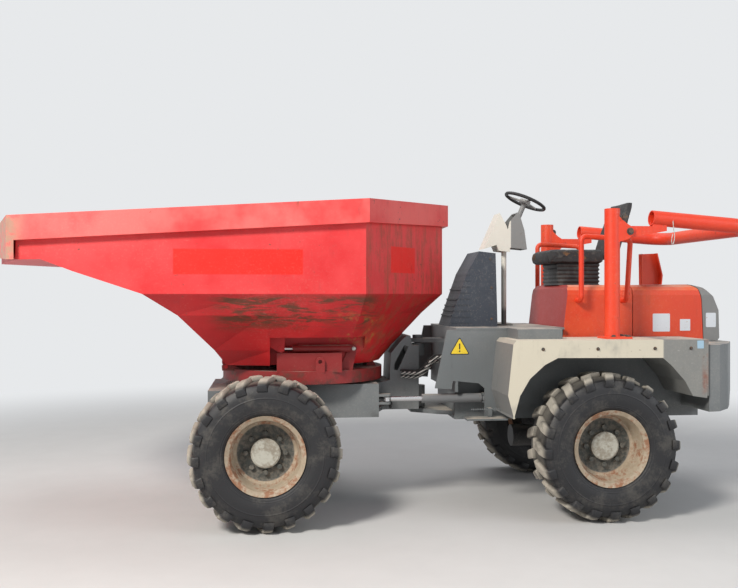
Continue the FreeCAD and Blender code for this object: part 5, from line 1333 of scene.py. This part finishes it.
def hose_rubber(name, stripe):
    f = Finish(name)
    fine = f.noise(80.0, 4.0, 0.6)
    base = f.mix((0.016, 0.016, 0.017), (0.06, 0.056, 0.05), f.step(fine, 0.5, 0.7))
    if stripe:
        coil = ((f.x * 0.6 + f.z + f.y * 0.3) * 300.0).wave()
        base = f.mix(base, (0.62, 0.61, 0.57), f.step(coil, 0.1, 0.35) * 0.9)
    f.bump(fine, 0.0006, 0.3)
    return f.set(Base_Color=base, Roughness=0.5 + fine * 0.2)


def hose(name, route, radius):
    """A round tube along a few points, given from the front axle, made a mesh."""
    curve = bpy.data.curves.new(name, "CURVE")
    curve.dimensions = "3D"
    curve.bevel_depth = radius
    curve.bevel_resolution = 3
    curve.use_fill_caps = True
    line = curve.splines.new("NURBS")
    line.points.add(len(route) - 1)
    for point, (x, y, z) in zip(line.points, route):
        point.co = (x + front_x, y, z, 1)
    line.order_u = 3
    line.use_endpoint_u = True
    line.resolution_u = 8
    held = bpy.data.objects.new(name, curve)
    bpy.context.scene.collection.objects.link(held)
    select_only(held)
    bpy.ops.object.convert(target="MESH")
    return smooth(bpy.context.object, 60)


wrapped, plain_hose = hose_rubber("wrapped_hose", True), hose_rubber("plain_hose", False)
print("hose rubbers", wrapped.name, plain_hose.name)

# %% [markdown]
# ## Hoses at the joint and in the recess
# Three steering hoses cross the joint between the frames in a loose loop. Two more come out
# of the ram's recess and turn down. The three run side by side, so one route serves all.

# %% Hoses
STEERING_HOSES = (
    # across, height at the rear end, radius
    (0.285, 1.150, 0.013), (0.255, 1.118, 0.011), (0.232, 1.165, 0.009),
)
for i, (y, z, radius) in enumerate(STEERING_HOSES):
    route = [(-1.400, y, z), (-1.350, y, z + 0.004), (-1.300, y + 0.012, z - 0.012),
             (-1.262, y + 0.014, z - 0.070), (-1.215, y, z - 0.118),
             (-1.150, y - 0.010, z - 0.128), (-1.060, y - 0.030, z - 0.120)]
    piece = hose("steering_hose_" + str(i + 1), route, radius)
    done(piece, None, wrapped if i < 2 else plain_hose)
    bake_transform(piece)
for i, (y, z) in enumerate(((0.34, 0.872), (0.30, 0.842))):
    route = [(-0.845, y, z), (-0.890, y, z), (-0.930, y - 0.01, z - 0.010),
             (-0.965, y - 0.03, z - 0.045), (-0.975, y - 0.06, z - 0.085)]
    done(hose("recess_hose_" + str(i + 1), route, 0.011), "front_frame", plain_hose)
print("hoses", pieces[-5:])

# %% [markdown]
# ## The hoop's clip
# A bent wire hangs from the folded hoop and keeps its pin from getting lost. It is the same
# kind of tube as a hose, only thin and of zinc, with its foot bent back up like a hook.

# %% Clip
CLIP_X, CLIP_Y = -3.034, 0.812
CLIP_ROUTE = (
    # along, across, height
    (0.0, 0.0, 2.200), (0.0, 0.004, 2.150), (-0.012, 0.006, 2.090), (-0.004, 0.004, 2.030),
    (0.012, 0.004, 2.020), (0.014, 0.004, 2.060), (0.004, 0.004, 2.100),
)
clip_points = [(CLIP_X + along, CLIP_Y + across, z) for along, across, z in CLIP_ROUTE]
done(hose("hoop_clip", clip_points, 0.0032), "hoop", zinc)
print("clip", pieces[-1])

# %% [markdown]
# ## The step's teeth
# A muddy boot slips on flat plate, so each step has a row of saw teeth. One tooth is a block
# whose top face is drawn narrow, an array repeats it along the step, and a small bevel takes
# the edge off, as wear does.

# %% Step teeth
TOOTH_PITCH, TOOTH_LONG, TOOTH_Y = 0.016, 0.014, 0.628


def step_teeth(side, hand):
    low, high = corners("steps")
    start = low.x - front_x + 0.012
    tooth = block("step_teeth_" + side, (start, hand * TOOTH_Y - 0.003, high.z - 0.002),
                  (start + TOOTH_LONG, hand * TOOTH_Y + 0.003, high.z + 0.009))
    hold(tooth)
    pick_facing(tooth, (0, 0, 1))
    bpy.ops.transform.resize(value=(0.25, 1, 1))
    put_down(tooth)
    row = tooth.modifiers.new("row", "ARRAY")
    row.use_relative_offset = False
    row.use_constant_offset = True
    row.constant_offset_displace = (TOOTH_PITCH, 0, 0)
    row.count = int((high.x - low.x - 0.03) / TOOTH_PITCH)
    use(tooth, row)
    return done(rounded(tooth, 0.0008, 1), "rear_frame", grey)


step_teeth("left", 1)
step_teeth("right", -1)
print("teeth", pieces[-2:])

# %% [markdown]
# ## Heads on the tip ram's pins
# The near tip ram's two pins end in bright heads. They are bolts like the others, in pale
# zinc: one rides with the rod and one stays on the turntable, so they are two objects.

# %% Ram pin heads
bolted("ram_pin_rod", [(-0.111, 0.569, 1.244)], (0, 1, 0), "tip_rods", zinc, 0.013)
bolted("ram_pin_foot", [(-0.650, 0.582, 1.244)], (0, 1, 0), "turntable", zinc,
       0.010)
print("pin heads", pieces[-2:])

# %% [markdown]
# ## New triangles counted
# The triangles of every new piece are added up and printed.

# %% New triangles counted
print("new triangles", sum(piece[1] for piece in pieces))
